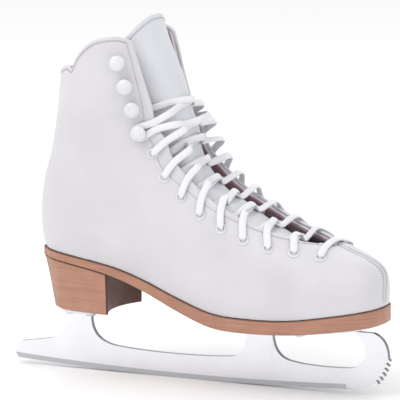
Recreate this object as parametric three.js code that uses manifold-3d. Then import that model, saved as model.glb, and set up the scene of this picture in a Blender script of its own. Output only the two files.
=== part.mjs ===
// A lace-up figure skate: leather boot, stacked heel and outsole, and a plated steel blade.
// Millimetres. +X runs to the toe, +Y to the skater's left and +Z up, with the ice at Z = 0.
import * as THREE from "three";
import { mergeVertices } from "three/addons/utils/BufferGeometryUtils.js";
import Module from "manifold-3d";

const wasm = await Module();
wasm.setup();

// ---------------------------------------------------------------- driving dimensions
const SOLE_LENGTH = 256; // back of the heel to the tip of the toe, along the sole
const BALL_WIDTH = 83; // the boot's greatest width, at the ball of the foot
const SHAFT_WIDTH = 88; // the shaft's greatest width, at the collar
const SOLE_RISE = 44; // ice to the underside of the outsole at the ball
const HEEL_RISE = 39; // how much higher the outsole's underside is at the heel
const TOE_SPRING = 7.5; // how much higher it is at the toe
const UPPER_HEIGHT = 191; // top of the outsole at the ball to the collar's highest point

const OUTSOLE_THICKNESS = 10;
const HEEL_SEAT_THICKNESS = 6; // the outsole, over the heel block
const WELT = 1; // how far the outsole stands out past the upper
const HEEL_LENGTH = 58;
const HEEL_TAPER = 8; // how far the heel's back leans in at its foot
const BREAST_RADIUS = 55;

const LEATHER = 2.2;
const STIFFENER = 1.6; // facings, ankle pads, heel counter and toe box lie in one layer
const LINING = 1.3;
const TONGUE_LEATHER = 1.8;
const TONGUE_PAD = 4.5;
const BOARD_THICKNESS = 3;
const FOOTBED_THICKNESS = 4;
const SHANK_THICKNESS = 1.2;
const SHANK_WIDTH = 16;

const THROAT_HALF_WIDTH = 31; // half the opening between the two quarters, over the instep
const TONGUE_OVERLAP = 11; // how far the tongue reaches under each quarter
const TONGUE_RISE = 15; // the tongue's top above the collar's highest point

const EYELETS = 9; // on each side
const HOOKS = 4; // on each side
const EYELET_PITCH = 18.3;
const HOOK_PITCH = 17;
const EYELET_SETBACK = 14; // from the throat's edge
const EYELET_FLANGE_RADIUS = 3.8;
const EYELET_HOLE_RADIUS = 2.2;
const EYELET_WALL = 0.5;
const HOOK_CAP_RADIUS = 5.6;
const HOOK_NECK_RADIUS = 2;
const HOOK_NECK_HEIGHT = 4.6;
const HOOK_CAP_HEIGHT = 2.6;
const LACE_DIAMETER = 3.2;

const BLADE_THICKNESS = 4;
const ROCKER_RADIUS = 2200;
const PLATE_THICKNESS = 2.4;
const SOLE_PLATE_WIDTH = 50;
const HEEL_PLATE_WIDTH = 40;
const SCREW_HEAD_RADIUS = 3.8;
const SCREW_HEAD_HEIGHT = 1.5;
const SCREW_SHANK_RADIUS = 1.8;
const SCREW_LENGTH = 9;

const TONGUE_FLEX_HEIGHT = 200; // the tongue bends here, above the lacing
const GAP = 0.3; // left between pieces that touch

// ---------------------------------------------------------------- curves
const lengthScale = SOLE_LENGTH / 256;
const widthScale = BALL_WIDTH / 83;
const shaftScale = SHAFT_WIDTH / 88;
const upperScale = UPPER_HEIGHT / 191;

// A smooth curve through [x, z] points, read by x.
function profile(points) {
  const curve = new THREE.CatmullRomCurve3(
    points.map(([x, z]) => new THREE.Vector3(x * lengthScale, 0, z)),
    false,
    "centripetal",
  );
  const samples = curve.getPoints(160);
  return (x) => {
    if (x <= samples[0].x) return samples[0].z;
    for (let i = 1; i < samples.length; i++)
      if (x <= samples[i].x) {
        const [a, b] = [samples[i - 1], samples[i]];
        return a.z + ((b.z - a.z) * (x - a.x)) / (b.x - a.x);
      }
    return samples[samples.length - 1].z;
  };
}

// Underside of the outsole: heel seat, arch, ball and toe spring.
const soleBottom = profile([
  [-10, SOLE_RISE + HEEL_RISE + 0.5],
  [0, SOLE_RISE + HEEL_RISE],
  [30, SOLE_RISE + HEEL_RISE - 3],
  [58, SOLE_RISE + HEEL_RISE * 0.8],
  [86, SOLE_RISE + HEEL_RISE * 0.56],
  [115, SOLE_RISE + HEEL_RISE * 0.24],
  [142, SOLE_RISE + 1],
  [170, SOLE_RISE],
  [200, SOLE_RISE + TOE_SPRING * 0.2],
  [230, SOLE_RISE + TOE_SPRING * 0.65],
  [256, SOLE_RISE + TOE_SPRING],
  [266, SOLE_RISE + TOE_SPRING * 1.1],
]);
const soleThickness = profile([
  [-10, HEEL_SEAT_THICKNESS],
  [40, HEEL_SEAT_THICKNESS],
  [86, HEEL_SEAT_THICKNESS + 2],
  [130, OUTSOLE_THICKNESS],
  [200, OUTSOLE_THICKNESS],
  [256, OUTSOLE_THICKNESS + 2],
  [266, OUTSOLE_THICKNESS + 2],
]);
const soleTop = (x) => soleBottom(x) + soleThickness(x);

const ballTop = SOLE_RISE + OUTSOLE_THICKNESS;
const collarTop = ballTop + UPPER_HEIGHT;

// The boot's skin is a fan of closed sections, from the toe round to the collar. Each section
// lies in a plane across the boot, from a point on the front outline to one on the back outline.
// front and back are [x, z], but as far as the heel a back's z is how far it lies from the top of
// the outsole, under which it ends. half is its half width, low is where it is widest, as a share of
// the way from back to front, and the last two are the squareness of its front and back halves.
const UNDER_TOP = 9.5; // how far under the outsole's top the sections in front of the heel end
const SECTIONS = [
  { front: [256.6, 84], back: [255.5, -UNDER_TOP], half: 0, low: 0.4, square: [2.3, 3] },
  { front: [255.4, 87], back: [254, -UNDER_TOP], half: 12, low: 0.4, square: [2.3, 3] },
  { front: [252.2, 91], back: [250.5, -UNDER_TOP], half: 20, low: 0.4, square: [2.3, 3.4] },
  { front: [246, 95], back: [244, -UNDER_TOP], half: 27.5, low: 0.4, square: [2.3, 3.8] },
  { front: [236, 99], back: [234, -UNDER_TOP], half: 33.5, low: 0.4, square: [2.4, 4] },
  { front: [222, 104], back: [220, -UNDER_TOP], half: 38.5, low: 0.4, square: [2.5, 4] },
  { front: [204, 110], back: [203, -UNDER_TOP], half: 41, low: 0.4, square: [2.7, 4] },
  { front: [184, 118], back: [184, -UNDER_TOP], half: 41.5, low: 0.4, square: [2.8, 4] },
  { front: [166, 129], back: [162, -UNDER_TOP], half: 41, low: 0.4, square: [2.8, 4] },
  { front: [151, 142], back: [136, -UNDER_TOP], half: 39.5, low: 0.4, square: [2.8, 3.8] },
  { front: [139.6, 152], back: [106, -UNDER_TOP], half: 38, low: 0.42, square: [2.8, 3.4] },
  { front: [135, 163.5], back: [68, -UNDER_TOP], half: 37, low: 0.44, square: [2.7, 3.2] },
  { front: [134.5, 174], back: [28, -UNDER_TOP], half: 36.5, low: 0.46, square: [2.6, 3] },
  { front: [134, 182], back: [2, -3], half: 36.5, low: 0.48, square: [2.5, 2.6] },
  { front: [130.5, 190], back: [-5, 110], half: 36.5, low: 0.5, square: [2.4, 2.3] },
  { front: [122, 197], back: [-2.5, 136], half: 37, low: 0.5, square: [2.3, 2.2] },
  { front: [114.5, 207], back: [4.5, 160], half: 38.5, low: 0.5, square: [2.3, 2.2] },
  { front: [107.5, 219.5], back: [9, 183], half: 40.5, low: 0.5, square: [2.2, 2.2] },
  { front: [100.5, 233], back: [12.5, 205], half: 42.5, low: 0.5, square: [2.2, 2.2] },
  { front: [93, 250], back: [15.5, 227], half: 44, low: 0.5, square: [2.2, 2.2] },
  { front: [84, 282], back: [20, 262], half: 46, low: 0.5, square: [2.2, 2.2] },
];
const LAST = SECTIONS.length - 1;
const THROAT_END = 5; // the section where the throat ends, above the toe
const HEEL_SECTION = 13; // the section that reaches the back of the heel

// The heights that the sections above are drawn at, for an upper of 191 mm.
const DRAWN_BALL_TOP = 54;
const DRAWN_HEEL_SEAT = 89;
const DRAWN_COLLAR_TOP = 245;
// Heights on the outlines follow the outsole's top below the heel, and the upper's height above.
function frontZ(z) {
  return ballTop + (z - DRAWN_BALL_TOP) * upperScale;
}
function backZ(x, z, index) {
  if (index <= HEEL_SECTION) return soleTop(x * lengthScale) + z;
  const heelSeat = soleTop(0);
  const share = (z - DRAWN_HEEL_SEAT) / (DRAWN_COLLAR_TOP - DRAWN_HEEL_SEAT);
  return heelSeat + share * (collarTop - heelSeat);
}

const track = (read) => {
  const curve = new THREE.CatmullRomCurve3(
    SECTIONS.map((section, i) => read(section, i)),
    false,
    "catmullrom",
    0.5,
  );
  return (t) => curve.getPoint(THREE.MathUtils.clamp(t / LAST, 0, 1));
};
const frontAt = track((s) => new THREE.Vector3(s.front[0] * lengthScale, 0, frontZ(s.front[1])));
const backAt = track(
  (s, i) => new THREE.Vector3(s.back[0] * lengthScale, 0, backZ(s.back[0], s.back[1], i)),
);
const halfScale = (i) =>
  THREE.MathUtils.lerp(widthScale, shaftScale, THREE.MathUtils.clamp((i - 9) / 8, 0, 1));
const shapeAt = track((s, i) => new THREE.Vector3(s.half * halfScale(i), s.low, 0));
const squareAt = track((s) => new THREE.Vector3(s.square[0], s.square[1], 0));

// The half width of section t at a share u of the way from its back point to its front point.
function halfWidthAt(t, u) {
  const { x: half, y: low } = shapeAt(t);
  const square = squareAt(t);
  const reach = u > low ? (u - low) / (1 - low) : (low - u) / low;
  const power = u > low ? square.x : square.y;
  return half * Math.pow(Math.max(0, 1 - Math.pow(Math.min(1, reach), power)), 1 / power);
}

// How much flatter than the skin the tongue's front is, where it lies over the bend of the ankle.
const MOST_FLAT = 0.17;
const FLATTEST = 12; // the section where the tongue is flattest
const FLAT_REACH = 5.5; // sections from there to where it's round again
function flatteningAt(t) {
  const away = Math.min(Math.abs(t - FLATTEST) / FLAT_REACH, 1);
  return (MOST_FLAT * (1 + Math.cos(Math.PI * away))) / 2;
}

// A point on the skin: turn runs from 0 at the front round the left side to pi at the back.
// flat is 1 for the flatter form that the tongue follows.
function skinPoint(t, turn, flat = 0) {
  const { x: half, y: low } = shapeAt(t);
  const square = squareAt(t);
  const power = Math.cos(turn) > 0 ? square.x : square.y;
  const rounded = (value) => Math.sign(value) * Math.pow(Math.abs(value), 2 / power);
  const along = rounded(Math.cos(turn));
  const reach = along > 0 ? (1 - low) * (1 - flat * flatteningAt(t)) : low;
  const u = low + along * reach;
  const point = backAt(t).lerp(frontAt(t), u);
  point.y = half * rounded(Math.sin(turn));
  return point;
}

// The section whose plane passes through [x, z].
function sectionThrough(x, z) {
  const turned = (t) => {
    const back = backAt(t);
    const front = frontAt(t);
    return (front.x - back.x) * (z - back.z) - (front.z - back.z) * (x - back.x);
  };
  let [low, high] = [0, LAST];
  for (let i = 0; i < 40; i++) {
    const middle = (low + high) / 2;
    if (turned(middle) > 0) low = middle;
    else high = middle;
  }
  return (low + high) / 2;
}
function skinWidthAt(x, z) {
  const t = sectionThrough(x, z);
  const back = backAt(t);
  const run = frontAt(t).sub(back);
  const u = ((x - back.x) * run.x + (z - back.z) * run.z) / run.lengthSq();
  return halfWidthAt(t, u);
}
function skinNormal(x, z) {
  const step = 0.5;
  return new THREE.Vector3(
    (skinWidthAt(x - step, z) - skinWidthAt(x + step, z)) / (2 * step),
    1,
    (skinWidthAt(x, z - step) - skinWidthAt(x, z + step)) / (2 * step),
  ).normalize();
}

// ---------------------------------------------------------------- solids
function solidOf(geometry) {
  const bare = (geometry.index ? geometry.toNonIndexed() : geometry.clone())
    .deleteAttribute("normal")
    .deleteAttribute("uv");
  const merged = mergeVertices(bare, 1e-4);
  return new wasm.Manifold(
    new wasm.Mesh({
      numProp: 3,
      vertProperties: merged.attributes.position.array,
      triVerts: new Uint32Array(merged.index.array),
    }),
  );
}
function geometryOf(solid) {
  const mesh = solid.getMesh();
  const position = new Float32Array(mesh.numVert * 3);
  for (let i = 0; i < mesh.numVert; i++)
    position.set(mesh.vertProperties.subarray(i * mesh.numProp, i * mesh.numProp + 3), i * 3);
  return new THREE.BufferGeometry()
    .setAttribute("position", new THREE.BufferAttribute(position, 3))
    .setIndex(new THREE.BufferAttribute(mesh.triVerts, 1));
}

const RINGS = 17;
const SIDES = 18;
// The rings crowd towards the toe, where the skin closes.
const ringSection = (ring) => LAST * Math.pow(ring / RINGS, 1.15);

// The whole boot as one solid, with its skin moved in by inset.
function bootSolid(inset, flat) {
  const half = SIDES / 2;
  const indexOf = (ring, side) => {
    const turned = (side + SIDES) % SIDES;
    return ring === 0 ? Math.min(turned, SIDES - turned) : half + 1 + (ring - 1) * SIDES + turned;
  };
  const points = [];
  for (let ring = 0; ring <= RINGS; ring++) {
    const count = ring === 0 ? half + 1 : SIDES;
    for (let side = 0; side < count; side++)
      points.push(skinPoint(ringSection(ring), (2 * Math.PI * side) / SIDES, flat));
  }
  const faces = [];
  for (let ring = 0; ring < RINGS; ring++)
    for (let side = 0; side < SIDES; side++) {
      const [a, b] = [indexOf(ring, side), indexOf(ring, side + 1)];
      const [c, d] = [indexOf(ring + 1, side + 1), indexOf(ring + 1, side)];
      faces.push([a, b, c], [a, c, d]);
    }
  const normals = points.map(() => new THREE.Vector3());
  for (const [a, b, c] of faces) {
    const face = new THREE.Vector3()
      .subVectors(points[b], points[a])
      .cross(new THREE.Vector3().subVectors(points[c], points[a]));
    for (const corner of [a, b, c]) normals[corner].add(face);
  }
  const moved = points.map((p, i) => p.clone().addScaledVector(normals[i].normalize(), -inset));
  const lid = moved.length;
  moved.push(frontAt(LAST).add(backAt(LAST)).multiplyScalar(0.5));
  for (let side = 0; side < SIDES; side++)
    faces.push([indexOf(RINGS, side), indexOf(RINGS, side + 1), lid]);
  const solid = new wasm.Manifold(
    new wasm.Mesh({
      numProp: 3,
      vertProperties: new Float32Array(moved.flatMap((p) => [p.x, p.y, p.z])),
      triVerts: new Uint32Array(faces.flat()),
    }),
  );
  return solid;
}
const insets = new Map();
function boot(inset, flat = 0) {
  const key = `${inset} ${flat}`;
  if (!insets.has(key)) insets.set(key, bootSolid(inset, flat));
  return insets.get(key);
}
const shell = (outer, thickness, flat = 0) =>
  boot(outer, flat).subtract(boot(outer + thickness, flat));

const FAR = 400; // beyond everything
// A solid that fills an [x, z] outline, across the boot from y = from to y = to.
function across(outline, from = -FAR, to = FAR) {
  const shape = outline instanceof THREE.Shape
    ? outline
    : new THREE.Shape(outline.map(([x, z]) => new THREE.Vector2(x, z)));
  const geometry = new THREE.ExtrudeGeometry(shape, {
    depth: to - from,
    bevelEnabled: false,
    curveSegments: 6,
  });
  return solidOf(geometry.rotateX(Math.PI / 2).translate(0, to, 0));
}
// A solid that fills an [x, y] outline, from z = from to z = to.
function upright(outline, from, to) {
  const shape = new THREE.Shape(outline.map(([x, y]) => new THREE.Vector2(x, y)));
  const geometry = new THREE.ExtrudeGeometry(shape, { depth: to - from, bevelEnabled: false });
  return solidOf(geometry.translate(0, 0, from));
}
function box(low, high) {
  const size = high.map((value, i) => value - low[i]);
  const middle = high.map((value, i) => (value + low[i]) / 2);
  return solidOf(new THREE.BoxGeometry(...size).translate(...middle));
}
// The space between two heights that are functions of x, sampled every few millimetres.
function band(lower, upper, from, to) {
  const count = Math.ceil((to - from) / 12);
  const xs = Array.from({ length: count + 1 }, (_, i) => from + ((to - from) * i) / count);
  const outline = xs.map((x) => [x, lower(x)]);
  return across([...outline, ...xs.reverse().map((x) => [x, upper(x)])]);
}
const leftOf = (solid, y) => solid.intersect(box([-FAR, y, -FAR], [FAR, FAR, FAR]));
const rightOf = (solid, y) => solid.intersect(box([-FAR, -FAR, -FAR], [FAR, y, FAR]));
function keepLargest(solid) {
  return solid.decompose().sort((a, b) => b.volume() - a.volume())[0];
}

const heelBackX = -12 * lengthScale;
const toeFrontX = (256 + 12) * lengthScale;
const aboveSole = (rise) =>
  band((x) => soleTop(x) + rise, () => FAR, heelBackX, toeFrontX);

// ---------------------------------------------------------------- throat and collar
const THROAT_SHARES = [
  0.4, 0.4, 0.4, 0.4, 0.4, 0.45, 0.62, 0.82, 0.94, 1, 1, 1, 1, 1, 1, 1.01, 1.03, 1.06, 1.1, 1.13, 1.16,
];
const throatShare = track((s, i) => new THREE.Vector3(THROAT_SHARES[i], 0, 0));
// Half the opening's width at section t: round at the toe, then nearly parallel.
function throatHalf(t) {
  const open = THREE.MathUtils.clamp(t - THROAT_END, 0, 1);
  return THROAT_HALF_WIDTH * throatShare(t).x * Math.sqrt(open);
}
// A wedge through the front of the boot, margin wider on each side than the throat.
function frontWedge(margin, from, to) {
  const steps = 15;
  const vertices = [];
  for (let i = 0; i <= steps; i++) {
    const t = from + ((to - from) * i) / steps;
    const half = Math.max(0.4, throatHalf(t) + margin);
    const back = backAt(t);
    const front = frontAt(t);
    const outer = back.clone().lerp(front, 1.2);
    const inner = back.clone().lerp(front, 0.5);
    for (const [point, y] of [[outer, half], [inner, half], [inner, -half], [outer, -half]])
      vertices.push(point.x, y, point.z);
  }
  const faces = [];
  for (let i = 0; i < steps; i++)
    for (let corner = 0; corner < 4; corner++) {
      const [a, b] = [i * 4 + corner, i * 4 + ((corner + 1) % 4)];
      faces.push([a, b, b + 4], [a, b + 4, a + 4]);
    }
  faces.push([0, 2, 1], [0, 3, 2]);
  const end = steps * 4;
  faces.push([end, end + 1, end + 2], [end, end + 2, end + 3]);
  const solid = new wasm.Manifold(
    new wasm.Mesh({
      numProp: 3,
      vertProperties: new Float32Array(vertices),
      triVerts: new Uint32Array(faces.flat()),
    }),
  );
  if (solid.volume() < 0) throw new Error("the wedge is inside out");
  return solid;
}
const throat = frontWedge(0, THROAT_END, LAST);

// Everything under the collar's top line, which dips at the back and rises over the ankles.
function underCollar(drop) {
  const heights = [
    [-30, 29.5],
    [14, 28.5],
    [31, 22.5],
    [34.5, 24.5],
    [40, 16],
    [47, 8.5],
    [55, 3],
    [63, 0.7],
    [72, 0],
    [79, 2.5],
    [84, 8],
    [90, 11],
    [300, 11],
  ];
  const outline = heights.map(([x, down]) => [x * lengthScale, collarTop - down * upperScale - drop]);
  return across([...outline, [300 * lengthScale, -FAR], [-30 * lengthScale, -FAR]]);
}

// ---------------------------------------------------------------- eyelet and hook rows
// A point on the skin of section t, a distance round from the throat's edge.
function pastEdge(t, distance) {
  const edge = throatHalf(t);
  const step = 0.02;
  let previous = skinPoint(t, 0);
  let run = 0;
  for (let turn = step; turn < Math.PI; turn += step) {
    const point = skinPoint(t, turn);
    if (point.y > edge) {
      if (previous.y < edge) previous.lerp(point, (edge - previous.y) / (point.y - previous.y));
      const length = point.distanceTo(previous);
      if (run + length >= distance) return previous.lerp(point, (distance - run) / length);
      run += length;
    }
    previous = point;
  }
  throw new Error("no skin that far from the throat");
}
function rowPoint(t) {
  const nearToe = THREE.MathUtils.clamp(THROAT_END + 1 - t, 0, 1);
  return pastEdge(t, EYELET_SETBACK + 9 * nearToe);
}
// Places along the row: the eyelets from the toe up, and then the hooks.
function rowPlaces() {
  const places = [];
  const gaps = [0];
  for (let i = 1; i < EYELETS; i++) gaps.push(EYELET_PITCH);
  for (let i = 0; i < HOOKS; i++) gaps.push(HOOK_PITCH);
  const start = 5.18;
  let point = rowPoint(start);
  let t = start;
  for (const gap of gaps) {
    let run = 0;
    while (run < gap) {
      t += 0.02;
      const next = rowPoint(t);
      run += next.distanceTo(point);
      point = next;
    }
    places.push({ t, point: point.clone(), normal: skinNormal(point.x, point.z) });
  }
  return places;
}
const row = rowPlaces();
const SIDES_OF_BOOT = { left: 1, right: -1 };
// The same place on the left (1) or right (-1) side.
function onSide(place, side) {
  const flip = new THREE.Vector3(1, side, 1);
  const point = place.point.clone().multiply(flip);
  return { t: place.t, point, normal: place.normal.clone().multiply(flip) };
}
// Turns a lathe's axis (+Y) onto a place's normal, with its origin on the skin.
function placeOn(geometry, { point, normal }) {
  const turn = new THREE.Quaternion().setFromUnitVectors(new THREE.Vector3(0, 1, 0), normal);
  return geometry.applyQuaternion(turn).translate(point.x, point.y, point.z);
}
const wallDepth = LEATHER + GAP + STIFFENER + GAP + LINING;
const lathe = (points, segments) =>
  new THREE.LatheGeometry(points.map(([r, y]) => new THREE.Vector2(r, y)), segments);
function rod(radius, from, to, place, segments = 10) {
  return solidOf(placeOn(lathe([[0, from], [radius, from], [radius, to], [0, to]], segments), place));
}
const eyeletPlaces = row.slice(0, EYELETS);
const hookPlaces = row.slice(EYELETS);

// ---------------------------------------------------------------- the upper
// six-sided holes, so their flats stay clear of the round eyelets
const HOLE = (EYELET_HOLE_RADIUS + EYELET_WALL + GAP) / Math.cos(Math.PI / 6);
const PIN = (HOOK_NECK_RADIUS + GAP) / Math.cos(Math.PI / 6);
function holes(side) {
  const cuts = eyeletPlaces.map((place) => rod(HOLE, -wallDepth - 3, 3, onSide(place, side), 6));
  for (const place of hookPlaces) cuts.push(rod(PIN, -wallDepth - 3, 3, onSide(place, side), 6));
  return cuts;
}
const holesLeft = holes(1);
const holesRight = holes(-1);
const cutAll = (solid, cutters) => cutters.reduce((rest, cutter) => rest.subtract(cutter), solid);

const upperRegion = underCollar(0).intersect(aboveSole(GAP));
const quarterBoth = shell(0, LEATHER).intersect(upperRegion).subtract(throat);
const quarterLeft = cutAll(leftOf(quarterBoth, GAP / 2), holesLeft);
const quarterRight = cutAll(rightOf(quarterBoth, -GAP / 2), holesRight);

const layer = LEATHER + GAP;
const stiffening = shell(layer, STIFFENER).intersect(underCollar(2).intersect(aboveSole(GAP)));
const lined = stiffening.subtract(throat);
const scaled = (points) => points.map(([x, z]) => [x * lengthScale, ballTop + (z - 54) * upperScale]);
// The facings follow the throat, wide enough to carry the eyelets and hooks.
const FACING_WIDTH = EYELET_SETBACK + 9;
const facingRegion = frontWedge(FACING_WIDTH * 0.72, THROAT_END, LAST);
const facings = lined.intersect(facingRegion);
const facingLeft = keepLargest(cutAll(leftOf(facings, GAP / 2), holesLeft));
const facingRight = keepLargest(cutAll(rightOf(facings, -GAP / 2), holesRight));
const behindFacings = lined.subtract(frontWedge(FACING_WIDTH * 0.72 + 2 * GAP, THROAT_END, LAST));
const counterOutline = scaled([[-40, 40], [96, 40], [96, 92], [70, 122], [40, 134], [-40, 140]]);
const counterRegion = across(counterOutline);
const heelCounter = keepLargest(behindFacings.intersect(counterRegion));
const padOutline = scaled([[12, 142], [44, 137], [73, 125], [98, 130], [98, 250], [12, 250]]);
const pads = behindFacings.intersect(across(padOutline));
const padLeft = keepLargest(cutAll(leftOf(pads, 6), holesLeft));
const padRight = keepLargest(cutAll(rightOf(pads, -6), holesRight));
const toeOutline = scaled([[226, 20], [290, 20], [290, 130], [231, 130]]);
const toeBox = keepLargest(lined.intersect(across(toeOutline)));

const liningDepth = layer + STIFFENER + GAP;
const liningRegion = underCollar(0.5).intersect(aboveSole(GAP));
const lining = keepLargest(
  cutAll(
    shell(liningDepth, LINING).intersect(liningRegion).subtract(throat),
    [...holesLeft, ...holesRight],
  ),
);

// ---------------------------------------------------------------- the tongue
const LACE_ROOM = 2.5; // beyond the lace's own thickness, between the lining and the tongue
const tongueDepth = liningDepth + LINING + LACE_DIAMETER + LACE_ROOM;
const tongueTop = collarTop + TONGUE_RISE;
const TONGUE_START = THROAT_END + 0.9;
const archOutline = [
  [-46, -FAR], [46, -FAR], [46, tongueTop - 34], [40, tongueTop - 20], [30, tongueTop - 9],
  [18, tongueTop - 2.5], [7, tongueTop], [-7, tongueTop], [-18, tongueTop - 2.5],
  [-30, tongueTop - 9], [-40, tongueTop - 20], [-46, tongueTop - 34],
];
const arch = solidOf(
  new THREE.ExtrudeGeometry(
    new THREE.Shape(archOutline.map(([y, z]) => new THREE.Vector2(y, z))),
    { depth: 2 * FAR, bevelEnabled: false },
  )
    .rotateX(Math.PI / 2)
    .rotateZ(Math.PI / 2)
    .translate(-FAR, 0, 0),
);
const tongueRegion = frontWedge(TONGUE_OVERLAP, TONGUE_START, LAST).intersect(arch);
// The tongue bends about a line across it, above the lacing. The cut below it opens backwards,
// so that the upper part can lean into the boot.
const flexSection = sectionThrough(110 * lengthScale, TONGUE_FLEX_HEIGHT);
const flexX = skinPoint(flexSection, 0, 1).x - tongueDepth;
const FLEX_GAP = 0.5;
const aboveFlex = across([
  [FAR, TONGUE_FLEX_HEIGHT + FLEX_GAP], [FAR, FAR], [-FAR, FAR], [-FAR, TONGUE_FLEX_HEIGHT + FLEX_GAP],
]);
const belowFlex = across([
  [flexX + 30, TONGUE_FLEX_HEIGHT], [flexX - 2, TONGUE_FLEX_HEIGHT],
  [flexX - 60, TONGUE_FLEX_HEIGHT - 14], [-FAR, TONGUE_FLEX_HEIGHT - 60], [-FAR, -FAR],
  [FAR, -FAR], [FAR, TONGUE_FLEX_HEIGHT],
]);
const tongueSkin = shell(tongueDepth, TONGUE_LEATHER, 1).intersect(tongueRegion);
const padDepth = tongueDepth + TONGUE_LEATHER + GAP;
const tonguePad = shell(padDepth, TONGUE_PAD, 1).intersect(tongueRegion);
const tongueLower = keepLargest(tongueSkin.intersect(belowFlex));
const tongueUpper = keepLargest(tongueSkin.intersect(aboveFlex));
const tonguePadLower = keepLargest(tonguePad.intersect(belowFlex));
const tonguePadUpper = keepLargest(tonguePad.intersect(aboveFlex));

// ---------------------------------------------------------------- inside the sole
const boardDepth = liningDepth + LINING + GAP;
const insole = (rise, thickness, trim) =>
  keepLargest(
    boot(boardDepth + trim).intersect(
      band(
        (x) => soleTop(x) + rise,
        (x) => soleTop(x) + rise + thickness,
        heelBackX,
        toeFrontX,
      ),
    ),
  );
const insoleBoard = insole(GAP, BOARD_THICKNESS, 0);
const footbed = insole(2 * GAP + BOARD_THICKNESS, FOOTBED_THICKNESS, 0.6);

// The outline of the outsole, from the toe down the left side to the heel.
function soleOutline(margin) {
  const half = [];
  const push = (t) => {
    const back = backAt(t);
    const front = frontAt(t);
    let [low, high] = [0, 0.6];
    const over = (u) => {
      const z = back.z + u * (front.z - back.z);
      return z - soleTop(back.x + u * (front.x - back.x));
    };
    if (over(0) >= 0) return false;
    for (let i = 0; i < 30; i++) {
      const middle = (low + high) / 2;
      if (over(middle) < 0) low = middle;
      else high = middle;
    }
    half.push(new THREE.Vector2(back.x + low * (front.x - back.x), halfWidthAt(t, low)));
    return true;
  };
  for (let t = 0; t < 3; t += 0.25) push(t);
  for (let t = 3; t < LAST; t += 0.5) if (!push(t)) break;
  const heel = half[half.length - 1];
  const backmost = heel.x - heel.y * 0.36;
  const steps = 5;
  for (let i = 1; i <= steps; i++) {
    const turn = (Math.PI / 2) * (i / steps);
    half.push(new THREE.Vector2(
      backmost + (heel.x - backmost) * (1 - Math.sin(turn)),
      heel.y * Math.cos(turn),
    ));
  }
  const widened = half.map((p, i) => {
    const before = half[Math.max(0, i - 1)];
    const after = half[Math.min(half.length - 1, i + 1)];
    const along = new THREE.Vector2().subVectors(after, before).normalize();
    const end = i === 0 ? new THREE.Vector2(1, 0) : new THREE.Vector2(along.y, -along.x);
    const out = i === half.length - 1 ? new THREE.Vector2(-1, 0) : end;
    return p.clone().addScaledVector(out, margin);
  });
  const left = widened.map((p) => [p.x, Math.max(0, p.y)]);
  left[0][1] = 0;
  left[left.length - 1][1] = 0;
  return [...left, ...left.slice(1, -1).reverse().map(([x, y]) => [x, -y])].reverse();
}

const outsoleBlank = upright(soleOutline(WELT), 0, FAR).intersect(
  band(soleBottom, soleTop, heelBackX, toeFrontX),
);
const shankFrom = 22 * lengthScale;
const shankTo = 138 * lengthScale;
function shankBand(margin) {
  const steps = 13;
  const run = shankTo - shankFrom + 2 * margin;
  const xs = Array.from({ length: steps + 1 }, (_, i) => shankFrom - margin + (run * i) / steps);
  const lower = xs.map((x) => [x, soleTop(x) - SHANK_THICKNESS - margin]);
  const upper = xs.reverse().map((x) => [x, soleTop(x) + 2 * margin]);
  const half = SHANK_WIDTH / 2 + margin;
  return across([...lower, ...upper], -half, half);
}
const shank = shankBand(0);
let outsole = outsoleBlank.subtract(shankBand(GAP));

// ---------------------------------------------------------------- the heel block
const heelBottomZ = SOLE_RISE + 2;
const heelFrontX = HEEL_LENGTH * lengthScale;
function heelSolid() {
  const top = soleBottom(0) + 2;
  const height = top - heelBottomZ;
  const outline = soleOutline(WELT - 0.4).filter(([x]) => x < heelFrontX + 22);
  const geometry = new THREE.ExtrudeGeometry(
    new THREE.Shape(outline.map(([x, y]) => new THREE.Vector2(x, y))),
    { depth: height, steps: 5, bevelEnabled: false },
  );
  const position = geometry.getAttribute("position");
  for (let i = 0; i < position.count; i++) {
    const [x, y, z] = [position.getX(i), position.getY(i), position.getZ(i)];
    const down = Math.max(0, 1 - z / height);
    const lean = HEEL_TAPER * Math.pow(down, 0.8) * Math.max(0, 1 - x / heelFrontX);
    position.setXYZ(i, x + lean, y * (1 - 0.07 * down), z + heelBottomZ);
  }
  return solidOf(geometry);
}
const breastX = heelFrontX + Math.sqrt(BREAST_RADIUS ** 2 - 30 ** 2);
const breast = solidOf(
  new THREE.CylinderGeometry(BREAST_RADIUS, BREAST_RADIUS, FAR, 64)
    .rotateX(Math.PI / 2)
    .translate(breastX, 0, 0),
);
const heelUnder = band(() => -10, (x) => soleBottom(x) - GAP, heelBackX, 120);
let heelBlock = keepLargest(heelSolid().intersect(heelUnder).subtract(breast));

// ---------------------------------------------------------------- plates, screws and blade
const plateUnder = (x) => soleBottom(x) - GAP - PLATE_THICKNESS;
function plateSolid(outline, bottom, top) {
  return upright(outline, 0, FAR).intersect(band(bottom, top, 100 * lengthScale, toeFrontX));
}
const solePlateOutline = (() => {
  const w = SOLE_PLATE_WIDTH / 2;
  const points = [
    [134, 9], [140, 15], [152, w - 3], [172, w], [200, w], [222, w - 3], [240, w - 8], [248, 10],
  ];
  const left = points.map(([x, y]) => [x * lengthScale, y]);
  return [...left.slice().reverse(), ...left.map(([x, y]) => [x, -y])];
})();
const solePlateBlank = plateSolid(solePlateOutline, plateUnder, (x) => soleBottom(x) - GAP);
const heelPlateTop = heelBottomZ - GAP;
const heelPlateOutline = (() => {
  const w = HEEL_PLATE_WIDTH / 2;
  const points = [[11, 8], [15, 15], [22, w], [40, w], [43.5, w - 6], [44.5, 8]];
  return [...points.slice().reverse().map(([x, y]) => [x * lengthScale, y]),
    ...points.map(([x, y]) => [x * lengthScale, -y])];
})();
const heelPlateBlank = upright(heelPlateOutline, heelPlateTop - PLATE_THICKNESS, heelPlateTop);

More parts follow.
